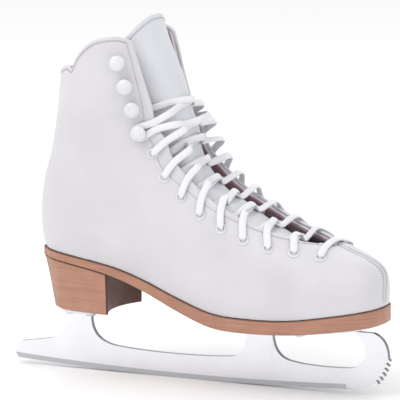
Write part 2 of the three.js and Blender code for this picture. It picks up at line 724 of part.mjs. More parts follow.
// Screws, each at [x, y] under a plate, pointing up into the sole or the heel.
const SOLE_SCREWS = [[146, 12], [146, -12], [200, 17], [200, -17], [236, 9]];
const HEEL_SCREWS = [[20, 12], [20, -12], [37, 14], [37, -14]];
function screwPlace([x, y], under) {
  const at = x * lengthScale;
  const slope = (under(at + 1) - under(at - 1)) / 2;
  const normal = new THREE.Vector3(-slope, 0, 1).normalize();
  return { point: new THREE.Vector3(at, y, under(at)), normal };
}
const flatUnder = () => heelPlateTop - PLATE_THICKNESS;
const screwPlaces = [
  ...SOLE_SCREWS.map((at) => screwPlace(at, plateUnder)),
  ...HEEL_SCREWS.map((at) => screwPlace(at, flatUnder)),
];
const screwShape = () => lathe([
  [0, -SCREW_HEAD_HEIGHT - GAP], [SCREW_HEAD_RADIUS * 0.6, -SCREW_HEAD_HEIGHT - GAP],
  [SCREW_HEAD_RADIUS, -SCREW_HEAD_HEIGHT * 0.5 - GAP], [SCREW_HEAD_RADIUS, -GAP],
  [SCREW_SHANK_RADIUS, -GAP], [SCREW_SHANK_RADIUS, SCREW_LENGTH - 2], [0, SCREW_LENGTH],
], 8);
const screws = screwPlaces.map((place) => solidOf(placeOn(screwShape(), place)));
const screwHoles = screwPlaces.map((place) =>
  rod(SCREW_SHANK_RADIUS + GAP, -3, SCREW_LENGTH + 1, place, 8),
);
const solePlate = cutAll(solePlateBlank, screwHoles.slice(0, SOLE_SCREWS.length));
const heelPlate = cutAll(heelPlateBlank, screwHoles.slice(SOLE_SCREWS.length));
outsole = cutAll(outsole, screwHoles.slice(0, SOLE_SCREWS.length));
heelBlock = cutAll(heelBlock, screwHoles.slice(SOLE_SCREWS.length));

// The blade's outline: a rockered running edge, the toe pick, two stanchions and the toe column.
const ROCKER_CENTRE = 105;
const rocker = (x) => (x - ROCKER_CENTRE) ** 2 / (2 * ROCKER_RADIUS);
const RUNNER_HEIGHT = 16.5;
const PICK_TEETH = 6;
const DRAWN_SOLE_RISE = 44; // the sole's rise that the blade's outline is drawn for
function bladeSolid() {
  const rearTop = heelPlateTop - PLATE_THICKNESS - GAP;
  const frontTop = plateUnder(175) + 3;
  const shape = new THREE.Shape();
  const up = (z) => (z * SOLE_RISE) / DRAWN_SOLE_RISE;
  const tail = -27;
  const heelOfPick = 237;
  shape.moveTo(tail, rocker(tail));
  // an odd number of flats, so that the middle one lies flat on the ice
  const flats = 23;
  const middle = ROCKER_CENTRE;
  const flat = 2 * (heelOfPick - middle) / flats;
  for (let x = middle - flat * (flats / 2); x <= heelOfPick + 0.01; x += flat)
    if (x > tail + 2) shape.lineTo(x, rocker(Math.abs(x - middle) < flat ? middle : x));
  shape.lineTo(243, 6);
  // the teeth stand along an arc from under the toe to its front
  const arcX = 232;
  const arcZ = 31;
  const arcR = 28;
  const first = THREE.MathUtils.degToRad(-53);
  const last = THREE.MathUtils.degToRad(-8);
  for (let tooth = 0; tooth < PICK_TEETH; tooth++) {
    const turn = first + ((last - first) * tooth) / PICK_TEETH;
    const next = first + ((last - first) * (tooth + 0.72)) / PICK_TEETH;
    const tip = arcR + 2.2 - tooth * 0.15;
    shape.lineTo(arcX + arcR * Math.cos(turn), arcZ + arcR * Math.sin(turn));
    shape.lineTo(arcX + tip * Math.cos(next), arcZ + tip * Math.sin(next));
  }
  shape.lineTo(arcX + arcR * Math.cos(last), arcZ + arcR * Math.sin(last));
  shape.bezierCurveTo(259.5, up(36), 256, up(42), 248.5, frontTop);
  shape.lineTo(233, frontTop);
  shape.bezierCurveTo(240, up(41), 243.5, up(34), 242.5, up(28));
  shape.bezierCurveTo(241.5, 23, 237, 18.6, 230, 18.2);
  shape.bezierCurveTo(215, 17.2, 195, 17.2, 184, 20);
  shape.bezierCurveTo(176, 22.5, 171.5, up(29), 172.5, frontTop);
  shape.lineTo(152.5, frontTop);
  shape.bezierCurveTo(152.5, up(30), 151, 20.5, 141, 19);
  shape.bezierCurveTo(120, RUNNER_HEIGHT, 80, RUNNER_HEIGHT - 0.5, 52, 18.6);
  shape.bezierCurveTo(38, 20, 29.5, up(27), 31.5, rearTop);
  shape.lineTo(12, rearTop);
  shape.bezierCurveTo(12, up(30), 9, 22.5, -2, 20);
  shape.bezierCurveTo(-10, 18.5, -20, 17, -25, 16);
  shape.bezierCurveTo(-28, 15, -30, 11, -29.5, 7.5);
  shape.lineTo(tail, rocker(tail));
  const points = shape.getPoints(7).map((p) => [p.x * lengthScale, p.y]);
  points.pop();
  const blade = across(points, -BLADE_THICKNESS / 2, BLADE_THICKNESS / 2);
  const room = band(() => -20, (x) => plateUnder(x) - GAP, 100 * lengthScale, toeFrontX);
  const rear = box([-FAR, -FAR, -FAR], [100 * lengthScale, FAR, rearTop + 1]);
  return keepLargest(blade.intersect(room.add(rear)));
}
const blade = bladeSolid();

// ---------------------------------------------------------------- eyelets and hooks
function eyeletSolid(place) {
  const outer = EYELET_HOLE_RADIUS + EYELET_WALL;
  return solidOf(placeOn(lathe([
    [EYELET_HOLE_RADIUS, -wallDepth - 0.3], [outer, -wallDepth - 0.3], [outer, GAP],
    [EYELET_FLANGE_RADIUS, GAP], [EYELET_FLANGE_RADIUS - 0.6, 1], [EYELET_HOLE_RADIUS, 0.8],
    [EYELET_HOLE_RADIUS, -wallDepth - 0.3],
  ], 8), place));
}
function hookSolid(place) {
  const cap = HOOK_NECK_HEIGHT + HOOK_CAP_HEIGHT;
  return solidOf(placeOn(lathe([
    [0, -wallDepth], [HOOK_NECK_RADIUS, -wallDepth], [HOOK_NECK_RADIUS, GAP], [3.6, GAP],
    [3.6, 0.8], [HOOK_NECK_RADIUS, 1.1], [HOOK_NECK_RADIUS, HOOK_NECK_HEIGHT],
    [HOOK_CAP_RADIUS, HOOK_NECK_HEIGHT + 0.3], [HOOK_CAP_RADIUS - 0.5, cap - 0.9],
    [HOOK_CAP_RADIUS * 0.55, cap - 0.1], [0, cap],
  ], 8), place));
}

// ---------------------------------------------------------------- the lace
const laceRadius = LACE_DIAMETER / 2;
// A point past the throat's edge at section t, raised off the skin (or sunk below it).
function overSkin(t, distance, raise, side) {
  const point = pastEdge(t, distance);
  const place = onSide({ t, point, normal: skinNormal(point.x, point.z) }, side);
  return place.point.addScaledVector(place.normal, raise);
}
const raisedBy = (place, raise) => place.point.clone().addScaledVector(place.normal, raise);
// A point over the middle of the tongue.
function overTongue(t, raise) {
  const front = skinPoint(t, 0, 1);
  const out = front.clone().sub(backAt(t)).normalize();
  return front.addScaledVector(out, raise - tongueDepth);
}
// A point at a share of the way out to the throat's edge: over the tongue, or level with the skin.
function inThroat(t, share, raise, side, flat) {
  const reach = throatHalf(t) * share;
  let turn = 0;
  while (skinPoint(t, turn, flat).y < reach) turn += 0.01;
  const point = skinPoint(t, turn, flat);
  const normal = skinNormal(point.x, point.z);
  return onSide({ t, point: point.addScaledVector(normal, raise), normal }, side).point;
}
const overTongueSide = (t, share, raise, side) => inThroat(t, share, raise - tongueDepth, side, 1);
// Where the lace comes off its own edge, on its way down to the tongue.
const offEdge = (t, side) => inThroat(t, 0.84, 0.6, side, 0);
const underWall = -(wallDepth + laceRadius + 0.5);
const OVER_TONGUE = laceRadius + 1.3;
// Half the lace, from the lowest bar to its end inside the boot.
function lacePoints(start, high) {
  const mid = laceRadius + (high ? 2 * laceRadius + 1.7 : 1);
  const eyelets = [eyeletPlaces.map((p) => onSide(p, 1)), eyeletPlaces.map((p) => onSide(p, -1))];
  const at = (i, side) => eyelets[side > 0 ? 0 : 1][i];
  const over = laceRadius + 1;
  const overFlange = laceRadius + 1.3;
  const points = [];
  // through an eyelet, from outside in or from inside out
  const through = (i, side, inwards) => {
    const heights = [overFlange, 0.2, -wallDepth, underWall - 0.4];
    if (!inwards) heights.reverse();
    for (const height of heights) points.push(raisedBy(at(i, side), height));
  };
  let side = start;
  points.push(overSkin(eyeletPlaces[0].t + 0.06, 9, over, side));
  through(0, side, true);
  for (let i = 0; i < EYELETS - 1; i++) {
    const [t, next] = [eyeletPlaces[i].t, eyeletPlaces[i + 1].t];
    const blend = (share) => THREE.MathUtils.lerp(t, next, share);
    points.push(overSkin(blend(0.22), 2.5, i > 0 ? over : underWall, side));
    if (i > 0) points.push(offEdge(blend(0.3), side));
    points.push(overTongueSide(blend(0.4), 0.5, OVER_TONGUE, side));
    points.push(overTongue(blend(0.5), mid));
    points.push(overTongueSide(blend(0.62), 0.6, OVER_TONGUE, -side));
    points.push(overSkin(blend(0.76), 4, underWall, -side));
    side = -side;
    through(i + 1, side, false);
  }
  // across to the lowest hook, round its neck and back
  const top = eyeletPlaces[EYELETS - 1].t;
  const hook = onSide(hookPlaces[0], -side);
  const lift = 0.8 + GAP + laceRadius;
  points.push(overSkin(top + 0.2, 2.5, over, side));
  points.push(offEdge(top + 0.3, side));
  points.push(overTongueSide(top + 0.4, 0.5, OVER_TONGUE, side));
  points.push(overTongue(top + 0.55, mid));
  points.push(overTongueSide(top + 0.7, 0.5, OVER_TONGUE + 1, -side));
  points.push(offEdge(top + 0.8, -side));
  points.push(overSkin(hookPlaces[0].t - 0.2, 2, over, -side));
  const up = hookPlaces[1].point
    .clone()
    .sub(hookPlaces[0].point)
    .multiply(new THREE.Vector3(1, -side, 1))
    .normalize();
  const away = new THREE.Vector3().crossVectors(up, hook.normal).normalize();
  if (away.x > 0) away.negate();
  const round = HOOK_NECK_RADIUS + laceRadius + 0.5;
  for (const degrees of [-80, -30, 30, 80]) {
    const turn = THREE.MathUtils.degToRad(degrees);
    points.push(raisedBy(hook, lift)
      .addScaledVector(away, round * Math.cos(turn))
      .addScaledVector(up, round * Math.sin(turn)));
  }
  points.push(overSkin(hookPlaces[0].t + 0.2, 2.5, over, -side));
  points.push(offEdge(hookPlaces[0].t + 0.3, -side));
  points.push(overTongueSide(hookPlaces[0].t + 0.42, 0.5, OVER_TONGUE + 1, -side));
  points.push(overTongue(hookPlaces[0].t + 0.6, mid));
  points.push(overTongueSide(hookPlaces[0].t + 0.75, 0.6, OVER_TONGUE, side));
  const tail = hookPlaces[0].t + 0.85;
  for (const distance of [3, 10, 18, 26])
    points.push(overSkin(tail, distance, underWall - distance * 0.06, side));
  return points;
}
function tubeAlong(points, radius, perSpan, sides) {
  const curve = new THREE.CatmullRomCurve3(points, false, "centripetal");
  curve.getUtoTmapping = (u) => u; // steps crowd where the route's points do
  const section = new THREE.Shape();
  for (let i = 0; i < sides; i++) {
    const turn = (2 * Math.PI * i) / sides;
    section[i ? "lineTo" : "moveTo"](radius * Math.cos(turn), radius * Math.sin(turn));
  }
  section.closePath();
  return new THREE.ExtrudeGeometry(section, {
    steps: perSpan * (points.length - 1),
    extrudePath: curve,
    bevelEnabled: false,
  });
}
const laceLeft = lacePoints(1, false);
const laceRight = lacePoints(-1, true);
// The bar over the throat's end joins the two halves, so the left half carries on across it.
const bar = overTongue(THROAT_END + 0.25, tongueDepth + laceRadius + 1.2);
const wholeLace = [...laceLeft.slice().reverse(), bar, ...laceRight];
const laceGeometry = tubeAlong(wholeLace, laceRadius, 1, 5);
function aglet(points) {
  const end = points[points.length - 1];
  const before = points[points.length - 2];
  const normal = end.clone().sub(before).normalize();
  return solidOf(placeOn(lathe([[0, GAP], [1.3, GAP], [1.3, 14], [0, 14]], 8), { point: end, normal }));
}

// ---------------------------------------------------------------- materials and the group
const finish = (color, roughness, metalness = 0) =>
  new THREE.MeshStandardMaterial({ color, roughness, metalness });
const whiteLeather = finish(0xdcdce0, 0.4);
const mauveLining = finish(0x8a6a70, 0.9);
const board = finish(0xa08468, 0.9);
const foam = finish(0xd8cfc4, 0.95);
const stacked = finish(0xa87e68, 0.6);
const steel = finish(0xd9dbe0, 0.25, 1);
const enamel = finish(0xe4e4e8, 0.35);
const cotton = finish(0xf0f0f0, 0.9);

const skate = new THREE.Group();
// The frame's origin is on the ice, under the middle of the whole skate.
const named = [];
function add(name, solid, material) {
  const geometry = solid.isBufferGeometry ? solid : geometryOf(solid);
  const mesh = new THREE.Mesh(geometry, material);
  mesh.name = name;
  named.push(mesh);
  skate.add(mesh);
}
add("quarter_left", quarterLeft, whiteLeather);
add("quarter_right", quarterRight, whiteLeather);
add("facing_left", facingLeft, whiteLeather);
add("facing_right", facingRight, whiteLeather);
add("heel_counter", heelCounter, board);
add("ankle_pad_left", padLeft, foam);
add("ankle_pad_right", padRight, foam);
add("toe_box", toeBox, board);
add("lining", lining, mauveLining);
add("tongue", tongueLower, whiteLeather);
add("tongue_padding", tonguePadLower, foam);
add("tongue_top", tongueUpper, whiteLeather);
add("tongue_top_padding", tonguePadUpper, foam);
add("insole_board", insoleBoard, board);
add("footbed", footbed, foam);
add("shank", shank, steel);
add("outsole", outsole, stacked);
add("heel_block", heelBlock, stacked);
add("sole_plate", solePlate, steel);
add("heel_plate", heelPlate, steel);
add("blade", blade, steel);
screws.forEach((screw, i) => {
  const front = i < SOLE_SCREWS.length;
  add(front ? `sole_screw_${i + 1}` : `heel_screw_${i - SOLE_SCREWS.length + 1}`, screw, steel);
});
for (const [word, side] of Object.entries(SIDES_OF_BOOT)) {
  eyeletPlaces.forEach((place, i) =>
    add(`eyelet_${word}_${i + 1}`, eyeletSolid(onSide(place, side)), enamel));
  hookPlaces.forEach((place, i) =>
    add(`hook_${word}_${i + 1}`, hookSolid(onSide(place, side)), enamel));
}
add("lace", laceGeometry, cotton);
add("lace_tip_a", aglet(laceLeft), enamel);
add("lace_tip_b", aglet(laceRight), enamel);

const bounds = new THREE.Box3().setFromObject(skate);
const middleX = (bounds.min.x + bounds.max.x) / 2;
for (const mesh of named) mesh.geometry.translate(-middleX, 0, -bounds.min.z);
for (const mesh of named) mesh.geometry.computeVertexNormals();

export default skate;
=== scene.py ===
"""A lace-up figure skate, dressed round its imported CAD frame.

The boot's skin is a fan of closed sections, from the toe round to the collar, and every layer of
the upper is a sheet cut from it. Shapes are worked out in millimetres, with X = 0 at the back of
the sole, and mesh_object() moves them into the frame, in metres.
"""

import math

import bmesh
import bpy
import numpy as np
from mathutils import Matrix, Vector


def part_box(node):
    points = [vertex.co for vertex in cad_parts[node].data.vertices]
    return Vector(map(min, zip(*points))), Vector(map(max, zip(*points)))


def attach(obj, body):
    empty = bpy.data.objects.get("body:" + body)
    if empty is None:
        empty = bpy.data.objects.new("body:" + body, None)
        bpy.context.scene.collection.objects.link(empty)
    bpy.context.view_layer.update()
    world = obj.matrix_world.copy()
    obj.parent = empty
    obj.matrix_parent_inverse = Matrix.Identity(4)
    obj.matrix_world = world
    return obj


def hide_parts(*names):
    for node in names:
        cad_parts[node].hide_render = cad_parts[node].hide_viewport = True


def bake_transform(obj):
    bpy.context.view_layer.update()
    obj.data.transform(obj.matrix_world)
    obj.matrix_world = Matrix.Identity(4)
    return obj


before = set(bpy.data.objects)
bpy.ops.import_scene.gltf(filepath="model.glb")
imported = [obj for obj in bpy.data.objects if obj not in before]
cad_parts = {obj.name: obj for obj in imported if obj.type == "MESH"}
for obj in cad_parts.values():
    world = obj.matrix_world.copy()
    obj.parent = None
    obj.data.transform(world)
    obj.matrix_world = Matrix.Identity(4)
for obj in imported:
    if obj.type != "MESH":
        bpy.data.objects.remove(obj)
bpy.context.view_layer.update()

MM = 0.001
HEEL_PLATE_BACK = 11.0  # the heel plate's back edge, ahead of the back of the sole
SHIFT = HEEL_PLATE_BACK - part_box("heel_plate")[0].x / MM

# ------------------------------------------------------------ camera, lights and floor
LOOK_AT = Vector((0, 0, 0.128))
CAMERA_AZIMUTH, CAMERA_ELEVATION = 25, 9.5
CAMERA_DISTANCE = 3.0
VIEW_WIDTH = 0.280  # what the picture spans at the object
SENSOR = 36


def direction(azimuth, elevation):
    """The way from the object to a camera or lamp that looks at it from there."""
    a, e = math.radians(azimuth), math.radians(elevation)
    return Vector((math.sin(a) * math.cos(e), -math.cos(a) * math.cos(e), math.sin(e)))


def aim(obj, azimuth, elevation, distance):
    back = direction(azimuth, elevation)
    obj.location = LOOK_AT + back * distance
    obj.rotation_euler = (-back).to_track_quat("-Z", "Y").to_euler()
    bpy.context.scene.collection.objects.link(obj)


def add_camera():
    data = bpy.data.cameras.new("camera")
    data.sensor_width = SENSOR
    data.lens = SENSOR * CAMERA_DISTANCE / VIEW_WIDTH
    camera = bpy.data.objects.new("camera", data)
    aim(camera, CAMERA_AZIMUTH, CAMERA_ELEVATION, CAMERA_DISTANCE)
    bpy.context.scene.camera = camera


def add_lamp(name, azimuth, elevation, distance, size, power, tint):
    data = bpy.data.lights.new(name, "AREA")
    data.size = size
    data.energy = power
    data.color = tint
    lamp = bpy.data.objects.new(name, data)
    lamp.visible_camera = False
    aim(lamp, azimuth, elevation, distance)


add_camera()
add_lamp("key", -28, 48, 1.5, 0.9, 7, (1.0, 0.985, 0.97))
add_lamp("fill", 70, 30, 1.8, 1.2, 2.4, (0.97, 0.98, 1.0))
add_lamp("rim", 200, 45, 1.6, 0.9, 3, (1.0, 1.0, 1.0))

world = bpy.data.worlds.new("studio")
world.use_nodes = True
world.node_tree.nodes["Background"].inputs["Color"].default_value = (1, 1, 1, 1)
world.node_tree.nodes["Background"].inputs["Strength"].default_value = 1.0
bpy.context.scene.world = world
bpy.context.scene.view_settings.view_transform = "Standard"


# ------------------------------------------------------------ materials
def linear(red, green, blue):
    """A colour given in the 0 to 255 of a screen, none of it near black, as the light that it is."""
    return (*(((c / 255 + 0.055) / 1.055) ** 2.4 for c in (red, green, blue)), 1)


class Nodes:
    """A material being wired up. Every method returns the output socket of what it adds."""

    def __init__(self, name, **fixed):
        self.material = bpy.data.materials.new(name)
        self.material.use_nodes = True
        self.tree = self.material.node_tree
        self.shader = self.tree.nodes["Principled BSDF"]
        for socket, value in fixed.items():
            self.shader.inputs[socket.replace("_", " ")].default_value = value
        self.place = self.tree.nodes.new("ShaderNodeTexCoord").outputs["Object"]
        self.height = None

    def add(self, kind, inputs=(), output=0, **settings):
        node = self.tree.nodes.new("ShaderNode" + kind)
        for key, value in settings.items():
            setattr(node, key, value)
        for key, value in dict(inputs).items():
            if isinstance(value, bpy.types.NodeSocket):
                self.tree.links.new(value, node.inputs[key])
            else:
                node.inputs[key].default_value = value
        return node.outputs[output]

    def math(self, operation, a, b=0.0, c=0.0):
        return self.add("Math", {0: a, 1: b, 2: c}, operation=operation)

    def stretched(self, x, y, z):
        return self.add("Mapping", {"Vector": self.place, "Scale": (x, y, z)})

    def noise(self, scale, detail=3.0, vector=None):
        return self.add("TexNoise", {"Vector": vector or self.place, "Scale": scale, "Detail": detail})

    def cells(self, scale, vector=None):
        return self.add("TexVoronoi", {"Vector": vector or self.place, "Scale": scale})

    def attribute(self, name):
        return self.add("Attribute", output="Fac", attribute_name=name)

    def ramp(self, value, low, high, to_low=0.0, to_high=1.0):
        return self.add("MapRange", {"Value": value, "From Min": low, "From Max": high,
                                     "To Min": to_low, "To Max": to_high})

    def mix(self, share, a, b):
        return self.add("MixRGB", {"Fac": share, "Color1": a, "Color2": b})

    def colour(self, socket):
        self.tree.links.new(socket, self.shader.inputs["Base Color"])

    def roughness(self, socket):
        self.tree.links.new(socket, self.shader.inputs["Roughness"])

    def bump(self, height, distance, strength=1.0):
        """Adds a bump, distance millimetres high, over those already there."""
        inputs = {"Height": height, "Distance": distance * MM, "Strength": strength}
        if self.height:
            inputs["Normal"] = self.height
        self.height = self.add("Bump", inputs)
        self.tree.links.new(self.height, self.shader.inputs["Normal"])


def leather(name, light, dark, rough, grain):
    """Smooth finished leather: faint cloudiness, pores, and a pressed line beside its stitched edges."""
    n = Nodes(name, Coat_Weight=0.12, Coat_Roughness=0.25, Specular_IOR_Level=0.45)
    clouds = n.ramp(n.noise(22, 4), 0.35, 0.65)
    n.colour(n.mix(clouds, light, dark))
    n.roughness(n.ramp(n.noise(160, 5), 0.3, 0.7, rough - 0.05, rough + 0.06))
    n.bump(n.noise(38, 2), 0.5, 0.35)
    n.bump(n.cells(1250), grain, 0.5)
    n.bump(n.noise(2600, 2), grain * 0.5, 0.4)
    from_line = n.math("ABSOLUTE", n.math("SUBTRACT", n.attribute("edge"), STITCH_INSET))
    n.bump(n.ramp(from_line, 0.15, 0.95), 0.35)
    return n.material


def lining_cloth():
    n = Nodes("lining_cloth", Sheen_Weight=0.35, Sheen_Roughness=0.5, Specular_IOR_Level=0.2)
    worn = n.ramp(n.noise(45, 4), 0.35, 0.7)
    n.colour(n.mix(worn, linear(158, 124, 130), linear(128, 96, 103)))
    n.roughness(n.ramp(n.noise(300, 3), 0.3, 0.7, 0.8, 0.95))
    n.bump(n.cells(1500), 0.18, 0.6)
    n.bump(n.noise(900, 3), 0.12, 0.5)
    return n.material


def felt(name, light, dark):
    n = Nodes(name, Sheen_Weight=0.3, Sheen_Roughness=0.6, Specular_IOR_Level=0.15)
    n.colour(n.mix(n.ramp(n.noise(90, 5), 0.3, 0.7), light, dark))
    n.roughness(n.ramp(n.noise(700, 3), 0.3, 0.7, 0.85, 1.0))
    n.bump(n.noise(1700, 4), 0.3, 0.7)
    return n.material


def stacked_leather(name, light, dark):
    """Edge-trimmed sole leather: thin pressed layers, a waxed face, and painted shade in a dark line along
    its top, under the part that rests on it.
    """
    n = Nodes(name, Coat_Weight=0.1, Coat_Roughness=0.35, Specular_IOR_Level=0.35)
    layers = n.noise(1.0, 3, n.stretched(14, 14, 1150))
    mottle = n.ramp(n.noise(70, 5), 0.3, 0.7)
    body = n.mix(n.math("MULTIPLY", mottle, 0.6), light, dark)
    body = n.mix(n.ramp(layers, 0.5, 0.72, 0.0, 0.28), body, linear(112, 74, 56))
    # Painted shade: darker within about a millimetre of the top, under the upper or sole above it.
    rim = n.ramp(n.attribute("edge"), 0.25, 1.3, 0.85, 0.0)
    n.colour(n.mix(rim, body, linear(72, 46, 38)))
    n.roughness(n.ramp(n.noise(220, 4), 0.3, 0.7, 0.42, 0.58))
    n.bump(layers, 0.12, 0.5)
    n.bump(n.noise(900, 4), 0.08, 0.5)
    return n.material


def steel(name, shade, rough, ground=False):
    """Polished plate. A runner's ground faces, beside its edge, are duller and carry the stone's lines."""
    n = Nodes(name, Metallic=1.0)
    drawn = n.noise(1.0, 3, n.stretched(30, 900, 900))
    tone = n.mix(n.ramp(n.noise(30, 3), 0.3, 0.7), shade, tuple(0.93 * c for c in shade[:3]) + (1,))
    gloss = n.ramp(drawn, 0.3, 0.7, rough - 0.04, rough + 0.06)
    if ground:
        band = n.ramp(n.attribute("edge"), GROUND_BAND - 0.25, GROUND_BAND + 0.25, 1.0, 0.0)
        tone = n.mix(band, tone, linear(186, 188, 192))
        gloss = n.math("ADD", gloss, n.math("MULTIPLY", band, 0.16))
        lines = n.noise(1.0, 2, n.stretched(2400, 900, 60))
        n.bump(n.math("MULTIPLY", lines, band), 0.03, 0.6)
    n.colour(tone)
    n.roughness(gloss)
    n.bump(drawn, 0.015, 0.4)
    return n.material


def enamel(name, light, dark, rough=0.28):
    n = Nodes(name, Coat_Weight=0.35, Coat_Roughness=0.12)
    n.colour(n.mix(n.ramp(n.noise(180, 3), 0.35, 0.7), light, dark))
    n.roughness(n.ramp(n.noise(500, 3), 0.3, 0.7, rough - 0.05, rough + 0.08))
    n.bump(n.noise(420, 3), 0.012, 0.4)
    return n.material


def braided_cotton():
    """Flat braid: two sets of diagonal plaits that cross, read from the lace's own length and girth."""
    n = Nodes("braided_cotton", Sheen_Weight=0.2, Sheen_Roughness=0.4, Specular_IOR_Level=0.25)
    split = n.tree.nodes.new("ShaderNodeSeparateXYZ")
    n.tree.links.new(n.add("UVMap"), split.inputs[0])
    along, around = split.outputs[0], split.outputs[1]
    plaits = []
    for way in (1, -1):
        turned = n.math("ADD", n.math("MULTIPLY", along, PLAITS_PER_MM * math.tau),
                        n.math("MULTIPLY", around, way * PLAITS_ROUND * math.tau))
        plaits.append(n.math("SINE", turned))
    weave = n.math("MAXIMUM", plaits[0], plaits[1])
    # Painted shade: the hollows between the plaits are darkened, up to a quarter of the way to grey.
    painted_hollow_shade = n.ramp(weave, -0.4, 0.6, 1.0, 0.0)
    n.colour(n.mix(n.math("MULTIPLY", painted_hollow_shade, 0.25), linear(228, 228, 231), linear(190, 190, 195)))
    n.roughness(n.ramp(n.noise(900, 2), 0.3, 0.7, 0.68, 0.86))
    n.bump(weave, 0.08, 0.8)
    n.bump(n.noise(3500, 2), 0.06, 0.5)
    return n.material


STITCH_INSET = 2.6  # from an edge to the row of stitches beside it
GROUND_BAND = 3.6  # how far the stone reaches up the blade's sides
PLAITS_PER_MM = 0.8
PLAITS_ROUND = 7

WHITE_LEATHER = leather("white_leather", linear(207, 205, 209), linear(200, 198, 202), 0.4, 0.05)
TONGUE_LEATHER = leather("tongue_leather", linear(210, 212, 217), linear(202, 204, 209), 0.36, 0.04)
LINING = lining_cloth()
WOOL_FELT = felt("wool_felt", linear(214, 204, 196), linear(190, 178, 170))
FIBREBOARD = felt("fibreboard", linear(176, 148, 120), linear(148, 122, 96))
SOLE = stacked_leather("sole_leather", linear(176, 130, 108), linear(156, 111, 90))
HEEL = stacked_leather("heel_leather", linear(178, 132, 110), linear(158, 113, 92))
BREAST = stacked_leather("heel_breast", linear(96, 62, 50), linear(74, 46, 37))
RUNNER = steel("runner_steel", linear(236, 237, 241), 0.2, ground=True)
# The blade's edge faces are the same steel, darkened: a painted dark reflection.
RUNNER_SIDE_DARK_REFLECTION = steel("runner_side_painted_reflection", linear(128, 130, 136), 0.32)
PLATE = steel("plate_steel", linear(222, 224, 229), 0.26)
SCREW = steel("screw_steel", linear(205, 207, 212), 0.3)
ENAMEL = enamel("white_enamel", linear(216, 217, 221), linear(206, 207, 211))
# The eyelets' bores are white enamel like the rest; this near-black is painted shade inside the holes.
BORE_PAINTED_SHADE = enamel("eyelet_bore_painted_shade", linear(34, 32, 34), linear(22, 20, 22), 0.5)
TIP = enamel("tip_plastic", linear(226, 226, 230), linear(205, 205, 210))
LACE = braided_cotton()
# Grey thread, darker than the leather, so that the stitch rows also carry the shade round the stitches:
# partly thread colour, partly painted shade.
THREAD_WITH_PAINTED_SHADE = felt("thread_with_painted_shade", linear(176, 174, 178), linear(150, 147, 152))


# ------------------------------------------------------------ the skin
GAP = 0.3
SOLE_RISE, HEEL_RISE, TOE_SPRING = 44, 39, 7.5
COLLAR_TOP, TONGUE_TOP = 245, 260
THROAT_HALF_WIDTH, THROAT_END = 31, 5
LEATHER_THICKNESS, STIFFENER, LINING_THICKNESS = 2.2, 1.6, 1.3
LAYER_DEPTH = LEATHER_THICKNESS + GAP
LINING_DEPTH = LAYER_DEPTH + STIFFENER + GAP
WALL_DEPTH = LINING_DEPTH + LINING_THICKNESS
TONGUE_DEPTH, TONGUE_OVERLAP, TONGUE_THICKNESS, TONGUE_PAD = 11.4, 11, 1.8, 4.5

# Each section: front x, z; back x, z; half width; where it is widest, as a share of the way from
# back to front; and how square its front and back halves are. As far as the heel, a back's z is
# how far it lies from the top of the outsole, under which it ends.
UNDER_TOP = 9.5  # how far under the top of the outsole they end
SECTIONS = np.array([
    [256.6, 84, 255.5, -UNDER_TOP, 0, 0.4, 2.3, 3],
    [255.4, 87, 254, -UNDER_TOP, 12, 0.4, 2.3, 3],
    [252.2, 91, 250.5, -UNDER_TOP, 20, 0.4, 2.3, 3.4],
    [246, 95, 244, -UNDER_TOP, 27.5, 0.4, 2.3, 3.8],
    [236, 99, 234, -UNDER_TOP, 33.5, 0.4, 2.4, 4],
    [222, 104, 220, -UNDER_TOP, 38.5, 0.4, 2.5, 4],
    [204, 110, 203, -UNDER_TOP, 41, 0.4, 2.7, 4],
    [184, 118, 184, -UNDER_TOP, 41.5, 0.4, 2.8, 4],
    [166, 129, 162, -UNDER_TOP, 41, 0.4, 2.8, 4],
    [151, 142, 136, -UNDER_TOP, 39.5, 0.4, 2.8, 3.8],
    [139.6, 152, 106, -UNDER_TOP, 38, 0.42, 2.8, 3.4],
    [135, 163.5, 68, -UNDER_TOP, 37, 0.44, 2.7, 3.2],
    [134.5, 174, 28, -UNDER_TOP, 36.5, 0.46, 2.6, 3],
    [134, 182, 2, -3, 36.5, 0.48, 2.5, 2.6],
    [130.5, 190, -5, 110, 36.5, 0.5, 2.4, 2.3],
    [122, 197, -2.5, 136, 37, 0.5, 2.3, 2.2],
    [114.5, 207, 4.5, 160, 38.5, 0.5, 2.3, 2.2],
    [107.5, 219.5, 9, 183, 40.5, 0.5, 2.2, 2.2],
    [100.5, 233, 12.5, 205, 42.5, 0.5, 2.2, 2.2],
    [93, 250, 15.5, 227, 44, 0.5, 2.2, 2.2],
    [84, 282, 20, 262, 46, 0.5, 2.2, 2.2],
])
HEEL_SECTION = 13  # the section that reaches the back of the heel
LAST = len(SECTIONS) - 1
THROAT_SHARES = [0.4] * 5 + [0.45, 0.62, 0.82, 0.94] + [1] * 6 + [1.01, 1.03, 1.06, 1.1, 1.13, 1.16]


def hermite(p, q, m, n, f):
    return ((2 * f**3 - 3 * f**2 + 1) * p + (f**3 - 2 * f**2 + f) * m
            + (-2 * f**3 + 3 * f**2) * q + (f**3 - f**2) * n)


def track(values):
    """A smooth curve through one value for each section, read by a section number."""
    v = np.asarray(values, float)
    v = np.concatenate([[2 * v[0] - v[1]], v, [2 * v[-1] - v[-2]]])

    def read(t):
        t = np.clip(np.asarray(t, float), 0, LAST)
        i = np.minimum(t.astype(int), LAST - 1)
        return hermite(v[i + 1], v[i + 2], (v[i + 2] - v[i]) / 2, (v[i + 3] - v[i + 1]) / 2, t - i)

    return read


